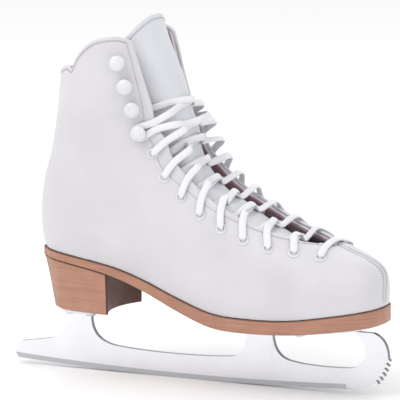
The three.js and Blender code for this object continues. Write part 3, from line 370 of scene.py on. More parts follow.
def spline(points, per_span=12):
    """A smooth line through points in any number of dimensions, which doesn't loop between them."""
    p = np.array(points, float)
    p = np.concatenate([[2 * p[0] - p[1]], p, [2 * p[-1] - p[-2]]])
    made = []
    for a, b, c, d in zip(p, p[1:], p[2:], p[3:]):
        r, s, u = [max(np.linalg.norm(y - x), 1e-6) ** 0.5 for x, y in ((a, b), (b, c), (c, d))]
        m = ((b - a) / r - (c - a) / (r + s) + (c - b) / s) * s
        n = ((c - b) / s - (d - b) / (s + u) + (d - c) / u) * s
        made += [hermite(b, c, m, n, f) for f in np.arange(per_span) / per_span]
    return np.array([*made, p[-2]])


def run_along(points):
    """How far along a line each of its points lies."""
    return np.concatenate([[0], np.cumsum(np.linalg.norm(np.diff(points, axis=0), axis=1))])


def profile(points):
    line = spline(points, 16)
    return lambda x: np.interp(x, line[:, 0], line[:, 1])


sole_bottom = profile([
    (-10, SOLE_RISE + HEEL_RISE + 0.5), (0, SOLE_RISE + HEEL_RISE), (30, SOLE_RISE + HEEL_RISE - 3),
    (58, SOLE_RISE + HEEL_RISE * 0.8), (86, SOLE_RISE + HEEL_RISE * 0.56),
    (115, SOLE_RISE + HEEL_RISE * 0.24), (142, SOLE_RISE + 1), (170, SOLE_RISE),
    (200, SOLE_RISE + TOE_SPRING * 0.2), (230, SOLE_RISE + TOE_SPRING * 0.65),
    (256, SOLE_RISE + TOE_SPRING), (266, SOLE_RISE + TOE_SPRING * 1.1),
])
sole_thickness = profile([(-10, 6), (40, 6), (86, 8), (130, 10), (200, 10), (256, 12), (266, 12)])
collar_height = profile([(x, COLLAR_TOP - drop) for x, drop in (
    (-30, 29.5), (14, 28.5), (31, 22.5), (34.5, 24.5), (40, 16), (47, 8.5), (55, 3), (63, 0.7),
    (72, 0), (79, 2.5), (84, 8), (90, 11), (300, 11))])
arch_drop = profile([(0, 0), (7, 0), (18, 2.5), (30, 9), (40, 20), (46, 34), (60, 80)])

def sole_top(x):
    return sole_bottom(x) + sole_thickness(x)


SECTIONS[:HEEL_SECTION + 1, 3] += sole_top(SECTIONS[:HEEL_SECTION + 1, 2])
front_x, front_z, back_x, back_z, half_at, low_at, front_power, back_power = map(track, SECTIONS.T)
throat_share = track(THROAT_SHARES)
MOST_FLAT, FLATTEST, FLAT_REACH = 0.17, 12, 5.5  # a share of the way in, and two numbers of sections


def throat_half(t):
    return THROAT_HALF_WIDTH * throat_share(t) * np.sqrt(np.clip(np.asarray(t, float) - THROAT_END, 0, 1))


def flattening(t):
    """How much flatter than the skin the tongue's front is, over the bend of the ankle."""
    away = np.minimum(np.abs(np.asarray(t, float) - FLATTEST) / FLAT_REACH, 1)
    return MOST_FLAT * (1 + np.cos(math.pi * away)) / 2


def skin(t, turn, flat=0.0):
    """A point on the skin: turn runs from 0 at the front round the left side to pi at the back."""
    t, turn = np.broadcast_arrays(np.asarray(t, float), np.asarray(turn, float))
    power = np.where(np.cos(turn) > 0, front_power(t), back_power(t))
    along = np.sign(np.cos(turn)) * np.abs(np.cos(turn)) ** (2 / power)
    aside = np.sign(np.sin(turn)) * np.abs(np.sin(turn)) ** (2 / power)
    low = low_at(t)
    u = low + along * np.where(along > 0, (1 - low) * (1 - flat * flattening(t)), low)
    x = back_x(t) + u * (front_x(t) - back_x(t))
    z = back_z(t) + u * (front_z(t) - back_z(t))
    return np.stack([x, half_at(t) * aside, z], -1)


def turn_at(t, y):
    """The turn at which section t, in its front half, is y from the middle."""
    return np.arcsin(np.clip(np.abs(y) / half_at(t), 0, 1) ** (front_power(t) / 2))


def skin_normal(t, turn, flat=0.0):
    step = 1e-3
    along = skin(t + step, turn, flat) - skin(t - step, turn, flat)
    around = skin(t, turn + step, flat) - skin(t, turn - step, flat)
    normal = np.cross(along, around)
    return normal / np.linalg.norm(normal, axis=-1, keepdims=True)


# ------------------------------------------------------------ sheets
class Sheet:
    """A surface of the boot. Each row of data is x, y, z, the normal, t, turn and distance from an edge."""

    def __init__(self, data, faces):
        self.data, self.faces = data, faces

    place = property(lambda self: self.data[:, 0:3])
    normal = property(lambda self: self.data[:, 3:6])

    def trimmed(self):
        used = sorted({i for face in self.faces for i in face})
        number = {old: new for new, old in enumerate(used)}
        return Sheet(self.data[used], [tuple(number[i] for i in face) for face in self.faces])


def face_normals(points, faces):
    """Normals at the points, from the faces round them."""
    total = np.zeros_like(points)
    quads = np.array(faces)
    across = points[quads[:, 2]] - points[quads[:, 0]]
    other = points[quads[:, 3]] - points[quads[:, 1]]
    normal = np.cross(across, other)
    for corner in range(4):
        np.add.at(total, quads[:, corner], normal)
    return total / np.maximum(np.linalg.norm(total, axis=1, keepdims=True), 1e-9)


def grid_faces(rows, columns):
    return [(r * columns + c, (r + 1) * columns + c, (r + 1) * columns + c + 1, r * columns + c + 1)
            for r in range(rows - 1) for c in range(columns - 1)]


def ring_faces(rings, count):
    """Faces between one ring of count points and the next."""
    faces = []
    for start in range(0, (rings - 1) * count, count):
        for i in range(count):
            j = (i + 1) % count
            faces.append((start + i, start + j, start + count + j, start + count + i))
    return faces


def left_skin(t_step, turns):
    """The left half of the boot's skin, with the distances to its top and throat edges."""
    t = np.concatenate([np.arange(0, 9, t_step * 1.25), np.arange(9, LAST, t_step), [LAST]])
    near_seam = [0, 0.003, 0.008, 0.016, 0.03]
    turn = np.concatenate([near_seam, np.linspace(0.05, math.pi, turns)])
    tt, aa = np.meshgrid(t, turn, indexing="ij")
    points = skin(tt, aa).reshape(-1, 3)
    faces = grid_faces(len(t), len(turn))
    normal = face_normals(points, faces)
    on_middle = np.isclose(np.abs(points[:, 1]), 0, atol=1e-6)
    normal[on_middle, 1] = 0
    normal /= np.maximum(np.linalg.norm(normal, axis=1, keepdims=True), 1e-9)
    if np.sum(normal[:, 1]) < 0:
        normal, faces = -normal, [face[::-1] for face in faces]
    data = np.column_stack([points, normal, tt.ravel(), aa.ravel(), np.zeros(len(points))])
    return Sheet(data, faces)


def from_collar(sheet):
    return collar_height(sheet.data[:, 0]) - sheet.data[:, 2]


def from_throat(sheet):
    past = sheet.data[:, 1] - throat_half(sheet.data[:, 6])
    return np.where(sheet.data[:, 7] < math.pi / 2, past, 100.0)


def from_sole(sheet):
    return sheet.data[:, 2] - sole_top(sheet.data[:, 0]) - GAP


def clip(sheet, field):
    """The part of a sheet where field, a number for each vertex, isn't negative."""
    value = np.where(np.abs(field) < 1e-3, 0.0, field)
    added, known, faces = [], {}, []

    def crossing(i, j):
        key = (min(i, j), max(i, j))
        if key not in known:
            a, b = key
            share = value[a] / (value[a] - value[b])
            known[key] = len(sheet.data) + len(added)
            added.append(sheet.data[a] * (1 - share) + sheet.data[b] * share)
        return known[key]

    for face in sheet.faces:
        inside = [value[i] >= 0 for i in face]
        if all(inside):
            faces.append(face)
        elif any(inside):
            kept = []
            for i, j in zip(face, face[1:] + face[:1]):
                if value[i] >= 0:
                    kept.append(i)
                if value[i] * value[j] < 0:
                    kept.append(crossing(i, j))
            if len(kept) > 2:
                faces.append(tuple(kept))
    data = np.vstack([sheet.data, *added]) if added else sheet.data
    return Sheet(data, faces).trimmed()


def mirrored(sheet):
    data = sheet.data.copy()
    data[:, [1, 4]] *= -1
    return Sheet(data, [face[::-1] for face in sheet.faces])


def welded(*sheets):
    """Several sheets as one, joined where their points meet."""
    data, faces, start, number, kept = [], [], 0, {}, []
    for sheet in sheets:
        data.append(sheet.data)
        faces += [tuple(i + start for i in face) for face in sheet.faces]
        start += len(sheet.data)
    data = np.vstack(data)
    index = []
    for i, key in enumerate(map(tuple, np.round(data[:, :3], 2))):
        if key not in number:
            number[key] = len(kept)
            kept.append(i)
        index.append(number[key])
    clean = []
    for face in faces:
        ring = [index[i] for i in face]
        ring = [a for a, b in zip(ring, ring[1:] + ring[:1]) if a != b]
        if len(ring) > 2:
            clean.append(tuple(ring))
    return Sheet(data[kept], clean)


RIM_STEPS = 4


def thickened(sheet, depth, thickness, rolled=0.0):
    """A closed solid under a sheet. Its edge swells out by rolled times a half round."""
    place, normal, faces = sheet.place, sheet.normal, sheet.faces
    directed = {(i, j) for face in faces for i, j in zip(face, face[1:] + face[:1])}
    border = [(i, j) for i, j in directed if (j, i) not in directed]
    out = np.zeros_like(place)
    for i, j in border:
        side = np.cross(place[j] - place[i], normal[i])
        out[i] += side
        out[j] += side
    out /= np.maximum(np.linalg.norm(out, axis=1, keepdims=True), 1e-9)
    count = len(place)
    rolled = np.broadcast_to(rolled, count)[:, None]
    verts = [place - normal * depth, place - normal * (depth + thickness)]
    rim = sorted({i for edge in border for i in edge})
    number = {i: n for n, i in enumerate(rim)}
    start = 2 * count
    for step in range(1, RIM_STEPS):
        turn = math.pi * step / RIM_STEPS
        down = depth + thickness * (1 - math.cos(turn)) / 2
        bulge = rolled[rim] * thickness / 2 * math.sin(turn)
        verts.append(place[rim] - normal[rim] * down + out[rim] * bulge)

    def on_rim(i, step):
        if step == 0:
            return i
        if step == RIM_STEPS:
            return i + count
        return start + (step - 1) * len(rim) + number[i]

    solid = list(faces) + [tuple(i + count for i in reversed(face)) for face in faces]
    for i, j in border:
        for step in range(RIM_STEPS):
            solid.append((on_rim(j, step), on_rim(i, step), on_rim(i, step + 1), on_rim(j, step + 1)))
    edge = sheet.data[:, 8]
    return np.vstack(verts), solid, np.concatenate([edge, edge, *[edge[rim]] * (RIM_STEPS - 1)])


# ------------------------------------------------------------ objects
def mesh_object(name, verts, faces, materials, edge=None, which=None, smooth=None):
    """A mesh, from millimetres. edge is a number at each vertex, and which a material for each face."""
    data = bpy.data.meshes.new(name)
    moved = (np.asarray(verts, float) - (SHIFT, 0, 0)) * MM
    data.from_pydata(moved.tolist(), [], [list(map(int, face)) for face in faces])
    for material in materials if isinstance(materials, (list, tuple)) else [materials]:
        data.materials.append(material)
    if which is not None:
        data.polygons.foreach_set("material_index", np.asarray(which, np.int32))
    values = np.full(len(moved), 100.0) if edge is None else np.asarray(edge, float)
    data.attributes.new("edge", "FLOAT", "POINT").data.foreach_set("value", values.astype(np.float32))
    data.shade_smooth()
    if smooth is not None:
        data.set_sharp_from_angle(angle=math.radians(smooth))
    data.update()
    obj = bpy.data.objects.new(name, data)
    bpy.context.scene.collection.objects.link(obj)
    return obj


def fit(obj, slot, *nodes, body="boot"):
    """Puts a piece on a body, in place of CAD nodes. Its slot is not used."""
    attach(obj, body)
    if nodes:
        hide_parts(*nodes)
    return obj


def sheet_object(name, sheet, depth, thickness, material, rolled=0.0):
    verts, faces, edge = thickened(sheet, depth, thickness, rolled)
    return mesh_object(name, verts, faces, material, edge)


# ------------------------------------------------------------ the upper
fine = left_skin(0.075, 88)
fine.data[:, 8] = np.minimum(from_collar(fine), from_throat(fine))
coarse = left_skin(0.16, 48)
coarse.data[:, 8] = 100


def cut_sheet(sheet, throat=0.0, collar=0.0, others=()):
    """A sheet's part inside the throat, collar and sole, and inside any other fields."""
    for field in (from_sole, lambda s: from_collar(s) - collar, lambda s: from_throat(s) - throat, *others):
        sheet = clip(sheet, field(sheet))
    return sheet


def in_outline(points):
    """Inside a convex [x, z] outline that runs anticlockwise: the distance to its nearest side."""
    def field(sheet):
        gaps = []
        for (ax, az), (bx, bz) in zip(points, points[1:] + points[:1]):
            run = math.hypot(bx - ax, bz - az)
            gaps.append(((bx - ax) * (sheet.data[:, 2] - az) - (bz - az) * (sheet.data[:, 0] - ax)) / run)
        return np.min(gaps, axis=0)
    return field


SEAM_DIP = 0.9  # how far the leather turns down into the seam over the toe


def build_quarters():
    half = cut_sheet(fine, throat=0.6, collar=0.6)
    half = clip(half, half.data[:, 1] - GAP / 2)
    ahead = (half.data[:, 6] < THROAT_END + 0.4) & (half.data[:, 7] < math.pi / 2)
    dip = SEAM_DIP * np.exp(-((half.data[:, 1] / 1.3) ** 2)) * ahead
    pucker = 0.16 * np.exp(-(((half.data[:, 1] - 3.4) / 1.6) ** 2)) * ahead
    half.data[:, 0:3] += half.normal * (pucker - dip)[:, None]
    rolled = np.where(half.data[:, 8] < 1.0, 0.9, 0.1)
    for word, sheet in (("left", half), ("right", mirrored(half))):
        name = "quarter_" + word
        made = sheet_object("upper_" + word, sheet, 0, LEATHER_THICKNESS, WHITE_LEATHER, rolled)
        fit(made, "leather", name)


FACING_WIDTH = 16.5  # from the throat's edge


def build_layers():
    """The facings, pads and stiffeners between the leather and the lining, and the lining itself."""
    facing = cut_sheet(coarse, 0.8, 2, [lambda s: FACING_WIDTH - from_throat(s),
                                        lambda s: s.data[:, 6] - THROAT_END])
    behind = [lambda s: from_throat(s) - FACING_WIDTH - 1]
    ankle = in_outline([(12, 142), (73, 125), (98, 130), (98, 250), (12, 250)])
    pad = cut_sheet(coarse, 0, 2, [*behind, ankle, lambda s: s.data[:, 1] - 6])
    for word, flip in (("left", lambda s: s), ("right", mirrored)):
        made = sheet_object("facing_strip_" + word, flip(facing), LAYER_DEPTH, STIFFENER, WHITE_LEATHER)
        fit(made, "leather", "facing_" + word)
        made = sheet_object("ankle_foam_" + word, flip(pad), LAYER_DEPTH, STIFFENER, WOOL_FELT, 0.8)
        fit(made, "foam", "ankle_pad_" + word)
    counter = in_outline([(-40, 40), (96, 40), (96, 92), (70, 122), (40, 134), (-40, 140)])
    toe = in_outline([(226, 20), (290, 20), (290, 130), (231, 130)])
    for name, node, field in (("counter_shell", "heel_counter", counter), ("toe_shell", "toe_box", toe)):
        half = cut_sheet(coarse, 0, 2, [*behind, field] if node == "heel_counter" else [field])
        whole = welded(half, mirrored(half))
        fit(sheet_object(name, whole, LAYER_DEPTH, STIFFENER, FIBREBOARD), "board", node)
    half = cut_sheet(coarse, 1.0, 0.7)
    whole = welded(half, mirrored(half))
    fit(sheet_object("lining_sheet", whole, LINING_DEPTH, LINING_THICKNESS, LINING, 0.9), "lining", "lining")


build_quarters()
build_layers()

# ------------------------------------------------------------ the tongue
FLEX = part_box("tongue_top")[0].z / MM - GAP
TONGUE_CROWN = 3.2  # how far its middle stands up above the lacing


def tongue_sheet(columns=46):
    t = np.concatenate([np.arange(THROAT_END + 0.9, LAST, 0.1), [LAST]])
    share = np.linspace(-1, 1, columns)
    tt, ss = np.meshgrid(t, share, indexing="ij")
    y = ss * (throat_half(tt) + TONGUE_OVERLAP)
    y = np.clip(y, -0.97 * half_at(tt), 0.97 * half_at(tt))
    points = skin(tt, turn_at(tt, y), 1)
    points[..., 1] *= np.sign(ss)
    points = points.reshape(-1, 3)
    faces = grid_faces(len(t), columns)
    normal = face_normals(points, faces)
    if normal[:, 0].sum() < 0:
        normal, faces = -normal, [face[::-1] for face in faces]
    rise = np.clip((points[:, 2] - (FLEX - 12)) / 30, 0, 1)
    crown = TONGUE_CROWN * (0.25 + 0.75 * rise) * np.cos(ss.ravel() * math.pi / 2)
    points = points + normal * crown[:, None]
    side = (1 - np.abs(ss.ravel())) * (throat_half(tt).ravel() + TONGUE_OVERLAP)
    top = TONGUE_TOP - arch_drop(np.abs(points[:, 1])) - points[:, 2]
    sheet = Sheet(np.column_stack([points, normal, tt.ravel(), ss.ravel(), np.minimum(side, top)]), faces)
    return clip(sheet, TONGUE_TOP - arch_drop(np.abs(sheet.data[:, 1])) - sheet.data[:, 2])


FLEX_REACH = 9  # how far above and below the hinge a bend would reach; the points it gives are not used


def bend(obj, slot, *nodes):
    """A piece of the tongue, whose real part flexes between the boot and the tongue's top: bakes in its
    transform and hides the CAD nodes it replaces.
    """
    start, end = (0, 0, (FLEX - FLEX_REACH) * MM), (0, 0, (FLEX + FLEX_REACH) * MM)
    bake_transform(obj)
    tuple(start)
    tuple(end)
    if nodes:
        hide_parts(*nodes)
    return obj


def build_tongue():
    sheet = tongue_sheet()
    face = sheet_object("tongue_face", sheet, TONGUE_DEPTH, TONGUE_THICKNESS, TONGUE_LEATHER, 0.9)
    bend(face, "leather", "tongue", "tongue_top")
    depth = TONGUE_DEPTH + TONGUE_THICKNESS + GAP
    inset = Sheet(sheet.data, sheet.faces)
    inset = clip(inset, inset.data[:, 8] - 2.2)
    inset.data[:, 8] = 100
    backing = sheet_object("tongue_felt", inset, depth, TONGUE_PAD, WOOL_FELT, 0.8)
    bend(backing, "foam", "tongue_padding", "tongue_top_padding")
    return sheet


TONGUE = build_tongue()


# ------------------------------------------------------------ stitches
def contour(sheet, field, level):
    """The longest line on a sheet along which a field has one value, as rows of the sheet's data."""
    value = field - level
    rows, links = {}, {}

    def crossing(i, j):
        key = (min(i, j), max(i, j))
        a, b = key
        if key not in rows:
            share = value[a] / (value[a] - value[b])
            rows[key] = sheet.data[a] * (1 - share) + sheet.data[b] * share
        return key

    for face in sheet.faces:
        hits = [crossing(i, j) for i, j in zip(face, face[1:] + face[:1]) if value[i] * value[j] < 0]
        if len(hits) == 2:
            for a, b in (hits, hits[::-1]):
                links.setdefault(a, []).append(b)
    longest, seen = [], set()
    for start in sorted(links, key=lambda key: len(links[key])):
        if start in seen:
            continue
        chain, here = [], start
        while here is not None:
            seen.add(here)
            chain.append(rows[here])
            here = next((n for n in links[here] if n not in seen), None)
        if len(chain) > len(longest):
            longest = chain
    return np.array(longest)


def spaced(rows, pitch):
    """Rows of data, at even distances along the line that they make."""
    run = run_along(rows[:, :3])
    at = np.arange(pitch / 2, run[-1], pitch)
    return np.column_stack([np.interp(at, run, rows[:, k]) for k in range(rows.shape[1])])


STITCH_STATIONS = ((-1, 0), (-0.72, 0.75), (0, 1), (0.72, 0.75), (1, 0))


def stitch_mesh(rows, length, radius, lift, across=False):
    """Small plump stitches lying on a surface, along a line or across it."""
    verts, faces = [], []
    rows = rows[np.linalg.norm(rows[:, 3:6], axis=1) > 0.1]
    for here, before, after in zip(rows[1:-1], rows[:-2], rows[2:]):
        normal = here[3:6] / np.linalg.norm(here[3:6])
        run = after[:3] - before[:3]
        run -= normal * (run @ normal)
        run /= np.linalg.norm(run)
        side = np.cross(normal, run)
        if across:
            run, side = side, run
        start = len(verts)
        centre = here[:3] + normal * lift
        for along, size in STITCH_STATIONS[1:-1]:
            for corner in range(6):
                turn = math.tau * corner / 6
                verts.append(centre + run * along * length / 2
                             + (side * math.cos(turn) + normal * math.sin(turn)) * radius * size)
        verts += [centre - run * length / 2, centre + run * length / 2]
        tail, head = start + 18, start + 19
        for corner in range(6):
            nxt = (corner + 1) % 6
            for ring in (0, 6):
                faces.append((start + ring + corner, start + ring + nxt,
                              start + ring + 6 + nxt, start + ring + 6 + corner))
            faces.append((tail, start + nxt, start + corner))
            faces.append((head, start + 12 + corner, start + 12 + nxt))
    return np.array(verts), faces


def build_stitches():
    half = cut_sheet(fine)
    edge_row = spaced(contour(half, half.data[:, 8], STITCH_INSET), 1.9)
    toe = clip(clip(half, THROAT_END - 0.15 - half.data[:, 6]), math.pi / 2 - half.data[:, 7])
    toe_row = spaced(contour(toe, toe.data[:, 1], 3.0), 2.0)
    flip = np.array([1, -1, 1, 1, -1, 1, 1, 1, 1])
    for word, side in (("left", 1), ("right", -1)):
        turned = flip if side < 0 else np.ones(9)
        verts, faces = stitch_mesh(edge_row * turned, 1.5, 0.32, 0.02)
        fit(mesh_object("edge_stitches_" + word, verts, faces, THREAD_WITH_PAINTED_SHADE), "lace")
        verts, faces = stitch_mesh(toe_row * turned, 2.6, 0.34, 0.12, across=True)
        fit(mesh_object("toe_stitches_" + word, verts, faces, THREAD_WITH_PAINTED_SHADE), "lace")
    sunk = Sheet(TONGUE.data.copy(), TONGUE.faces)
    sunk.data[:, 0:3] -= sunk.normal * TONGUE_DEPTH
    row = spaced(contour(sunk, sunk.data[:, 8], STITCH_INSET), 1.9)
    verts, faces = stitch_mesh(row, 1.5, 0.3, 0.02)
    bend(mesh_object("tongue_stitches", verts, faces, THREAD_WITH_PAINTED_SHADE), "lace")


build_stitches()


# ------------------------------------------------------------ the sole and heel
def sole_outline(margin):
    """Half of the outsole's outline, from the toe down the left side to the heel's back."""
    half = []
    for t in np.concatenate([np.arange(0, 3, 0.06), np.arange(3, LAST, 0.12)]):
        bx, bz, fx, fz = (float(read(t)) for read in (back_x, back_z, front_x, front_z))
        if bz >= sole_top(bx):
            break
        low, high = 0.0, 0.6
        for _ in range(30):
            u = (low + high) / 2
            if bz + u * (fz - bz) < sole_top(bx + u * (fx - bx)):
                low = u
            else:
                high = u
        widest, power = float(low_at(t)), float(back_power(t))
        reach = min(1, (widest - low) / widest)
        half.append((bx + low * (fx - bx), float(half_at(t)) * (1 - reach**power) ** (1 / power)))
    x, y = half[-1]
    backmost = x - y * 0.36
    for turn in np.linspace(0, math.pi / 2, 15)[1:]:
        half.append((backmost + (x - backmost) * (1 - math.sin(turn)), y * math.cos(turn)))
    half = np.array(half)
    half = spaced_line(half, 2.2)
    out = outwards_of(half)
    half = half + out * margin
    half[[0, -1], 1] = 0
    return half, out


def outwards_of(half):
    """Which way is out, at each point of half an outline that runs from its front to its back."""
    along = np.gradient(half, axis=0)
    out = np.column_stack([-along[:, 1], along[:, 0]])
    out /= np.linalg.norm(out, axis=1, keepdims=True)
    if out[len(out) // 2, 1] < 0:
        out = -out
    out[0], out[-1] = (1, 0), (-1, 0)
    return out


def spaced_line(points, step):
    run = run_along(points)
    at = np.linspace(0, run[-1], int(run[-1] / step) + 1)
    return np.column_stack([np.interp(at, run, points[:, k]) for k in range(points.shape[1])])


def loop_of(half):
    return np.vstack([half, (half * (1, -1))[-2:0:-1]])


def slab(half, out, bottom, top, rings):
    """A closed slab round a symmetric outline. A ring is how far in, in mm, and what share of the way up."""
    outline, outwards = loop_of(half), loop_of(out)
    count = len(outline)
    verts, edge = [], []
    for inset, share in rings:
        xy = outline - outwards * inset
        low, high = bottom(xy[:, 0]), top(xy[:, 0])
        verts.append(np.column_stack([xy, low + (high - low) * share]))
        edge.append((high - low) * (1 - share))
    verts = np.vstack(verts)
    faces = ring_faces(len(rings), count)
    faces += ladder(count, (len(rings) - 1) * count) + [face[::-1] for face in ladder(count, 0)]
    return verts, outward(verts, faces), np.concatenate(edge)


def outward(verts, faces):
    """Turns all the faces round if they face inwards."""
    volume = 0
    for face in faces:
        a = verts[face[0]]
        for b, c in zip(face[1:], face[2:]):
            volume += np.dot(a, np.cross(verts[b], verts[c]))
    return [face[::-1] for face in faces] if volume < 0 else faces


def ladder(count, start):
    """Faces across a symmetric ring, from its left side to its right."""
    middle = count // 2
    rungs = []
    for i in range(middle):
        ring = (i, i + 1, (count - i - 1) % count, (count - i) % count)
        rungs.append(tuple(start + k for k in dict.fromkeys(ring)))
    return rungs


EDGE_RINGS = ((1.1, 0), (0.35, 0.012), (0, 0.05), (0, 0.25), (0, 0.5), (0, 0.75), (0, 0.94),
              (0.25, 0.985), (0.9, 1))


def build_outsole():
    half, out = sole_outline(1.0)
    verts, faces, edge = slab(half, out, sole_bottom, sole_top, EDGE_RINGS)
    fit(mesh_object("outsole_edge", verts, faces, SOLE, edge, smooth=50), "stacked_sole", "outsole")


HEEL_BOTTOM = SOLE_RISE + 2
HEEL_LENGTH, HEEL_TAPER, HEEL_NARROWING = 58, 8, 0.07
BREAST_RADIUS, BREAST_HALF_WIDTH = 55, 30
HEEL_LEVELS = (0, 0.03, 0.2, 0.4, 0.6, 0.8, 0.97, 1)  # shares of the way up it


def build_heel():
    half, _ = sole_outline(0.6)
    breast_x = HEEL_LENGTH + math.sqrt(BREAST_RADIUS**2 - BREAST_HALF_WIDTH**2)
    on_arc = np.hypot(half[:, 0] - breast_x, half[:, 1]) < BREAST_RADIUS
    side = half[(half[:, 0] < 80) & ~on_arc]
    reach = math.asin(min(1, side[0, 1] / BREAST_RADIUS))
    arc = [(breast_x - BREAST_RADIUS * math.cos(a), BREAST_RADIUS * math.sin(a))
           for a in np.linspace(0, reach, 16)[:-1]]
    loop = loop_of(np.vstack([arc, side]))
    count, on_breast = len(loop), len(arc)
    top = sole_bottom(loop[:, 0]) - GAP
    verts, edge = [], []
    for share in HEEL_LEVELS:
        down = (1 - share) * (top - HEEL_BOTTOM) / (top.max() - HEEL_BOTTOM)
        x = loop[:, 0] + HEEL_TAPER * down**0.8 * np.maximum(0, 1 - loop[:, 0] / HEEL_LENGTH)
        y = loop[:, 1] * (1 - HEEL_NARROWING * down)
        verts.append(np.column_stack([x, y, HEEL_BOTTOM + share * (top - HEEL_BOTTOM)]))
        edge.append((1 - share) * (top - HEEL_BOTTOM))
    faces = ring_faces(len(HEEL_LEVELS), count)
    round_it = [1 if i < on_breast or i >= count - on_breast else 0 for i in range(count)]
    which = round_it * (len(HEEL_LEVELS) - 1)
    faces += [tuple(range(count))[::-1], tuple((len(HEEL_LEVELS) - 1) * count + i for i in range(count))]
    which += [0, 0]
    verts = np.vstack(verts)
    faces = outward(verts, faces)
    made = mesh_object("heel_stack", verts, faces, [HEEL, BREAST], np.concatenate(edge), which, smooth=40)
    bevel(made, 0.6)
    fit(made, "stacked_sole", "heel_block")


def bevel(obj, width, segments=3, angle=40):
    """Rounds a piece's sharp edges, in millimetres, for good."""
    added = obj.modifiers.new("bevel", "BEVEL")
    added.width, added.segments = width * MM, segments
    added.limit_method, added.angle_limit = "ANGLE", math.radians(angle)
    added.harden_normals = True
    apply_modifiers(obj)


def apply_modifiers(obj):
    bpy.context.view_layer.update()
    made = bpy.data.meshes.new_from_object(obj.evaluated_get(bpy.context.evaluated_depsgraph_get()))
    obj.modifiers.clear()
    obj.data = made


FOOTBED_THICKNESS, FOOTBED_CUP = 3.6, 1.6  # and how far its edges rise beside the heel
FOOTBED_ROWS, FOOTBED_COLUMNS = 90, 25


def build_footbed():
    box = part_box("footbed")
    x = np.linspace(box[0].x / MM + SHIFT, box[1].x / MM + SHIFT, FOOTBED_ROWS)
    middle = (x[0] + x[-1]) / 2
    half, _ = sole_outline(-8.0)
    width = np.interp(x[::-1], half[::-1, 0], half[::-1, 1])[::-1]
    width *= np.sqrt(np.clip(1 - (np.abs(x - middle) / (x[-1] - middle)) ** 14, 0, 1))
    share = np.sin(np.linspace(-math.pi / 2, math.pi / 2, FOOTBED_COLUMNS))
    rise = 2 * GAP + 3
    rows = []
    for at, reach in zip(x, width):
        cup = FOOTBED_CUP * share**4 * np.clip((90 - at) / 60, 0, 1)
        top = sole_top(at) + rise + 4 + cup
        rows.append(np.column_stack([np.full(FOOTBED_COLUMNS, at), share * reach, top]))
    points = np.vstack(rows)
    faces = grid_faces(len(x), FOOTBED_COLUMNS)
    normal = np.tile((0.0, 0.0, 1.0), (len(points), 1))
    facing = face_normals(points, faces)[:, 2].sum()
    faces = faces if facing > 0 else [face[::-1] for face in faces]
    sheet = welded(Sheet(np.column_stack([points, normal, np.full((len(points), 3), 100.0)]), faces))
    made = sheet_object("footbed_pad", sheet, 0, FOOTBED_THICKNESS, LINING, 0.7)
    fit(made, "foam", "footbed")


build_outsole()
build_heel()
build_footbed()

# ------------------------------------------------------------ the blade, its plates and screws
PLATE_THICKNESS, BLADE_THICKNESS = 2.4, 4
ROCKER_CENTRE, ROCKER_RADIUS = 105, 2200
HEEL_PLATE_TOP = HEEL_BOTTOM - GAP
PICK_TEETH, PICK_X, PICK_Z, PICK_RADIUS = 6, 232, 31, 28
PLATE_RINGS = ((0.6, 0), (0.15, 0.07), (0, 0.25), (0, 0.75), (0.15, 0.93), (0.6, 1))


def plate_under(x):
    return sole_bottom(x) - GAP - PLATE_THICKNESS


def heel_plate_under(x):
    return np.full(np.shape(x), HEEL_PLATE_TOP - PLATE_THICKNESS)


def above_plate(under):
    """The height of a plate's top, from that of its underside."""
    def top(x):
        return under(x) + PLATE_THICKNESS
    return top


def rocker(x):
    return (x - ROCKER_CENTRE) ** 2 / (2 * ROCKER_RADIUS)


def bezier(start, *rest, steps=14):
    """A cubic curve that leaves start, without its first point."""
    a, b, c, d = (np.array(p, float) for p in (start, *rest))
    return [tuple((1 - f)**3 * a + 3 * (1 - f)**2 * f * b + 3 * (1 - f) * f**2 * c + f**3 * d)
            for f in np.arange(1, steps + 1) / steps]


def blade_outline():
    rear_top = HEEL_PLATE_TOP - PLATE_THICKNESS - GAP
    front_top = float(plate_under(175)) + 3
    line = [(x, float(rocker(x))) for x in np.linspace(-27, 237, 90)] + [(243, 6)]
    first, last = math.radians(-53), math.radians(-8)

    def ray(turn, r):
        return PICK_X + r * math.cos(turn), PICK_Z + r * math.sin(turn)

    for tooth in range(PICK_TEETH):
        step = (last - first) / PICK_TEETH
        root = first + step * tooth
        tip = PICK_RADIUS + 2.2 - tooth * 0.15
        line += [ray(root, PICK_RADIUS - 0.9), ray(root + step * 0.12, PICK_RADIUS - 0.9),
                 ray(root + step * 0.6, tip), ray(root + step * 0.8, tip)]
    line.append(ray(last, PICK_RADIUS))
    for curve in (
        ((259.5, 36), (256, 42), (248.5, front_top)), ((233, front_top),),
        ((240, 41), (243.5, 34), (242.5, 28)), ((241.5, 23), (237, 18.6), (230, 18.2)),
        ((215, 17.2), (195, 17.2), (184, 20)), ((176, 22.5), (171.5, 29), (172.5, front_top)),
        ((152.5, front_top),), ((152.5, 30), (151, 20.5), (141, 19)),
        ((120, 16.5), (80, 16), (52, 18.6)), ((38, 20), (29.5, 27), (31.5, rear_top)),
        ((12, rear_top),), ((12, 30), (9, 22.5), (-2, 20)), ((-10, 18.5), (-20, 17), (-25, 16)),
        ((-28, 15), (-30, 11), (-29.5, 7.5)),
    ):
        line += bezier(line[-1], *curve) if len(curve) == 3 else [curve[0]]
    return [(x, min(z, float(plate_under(x)) - GAP) if x > 100 else z) for x, z in line]


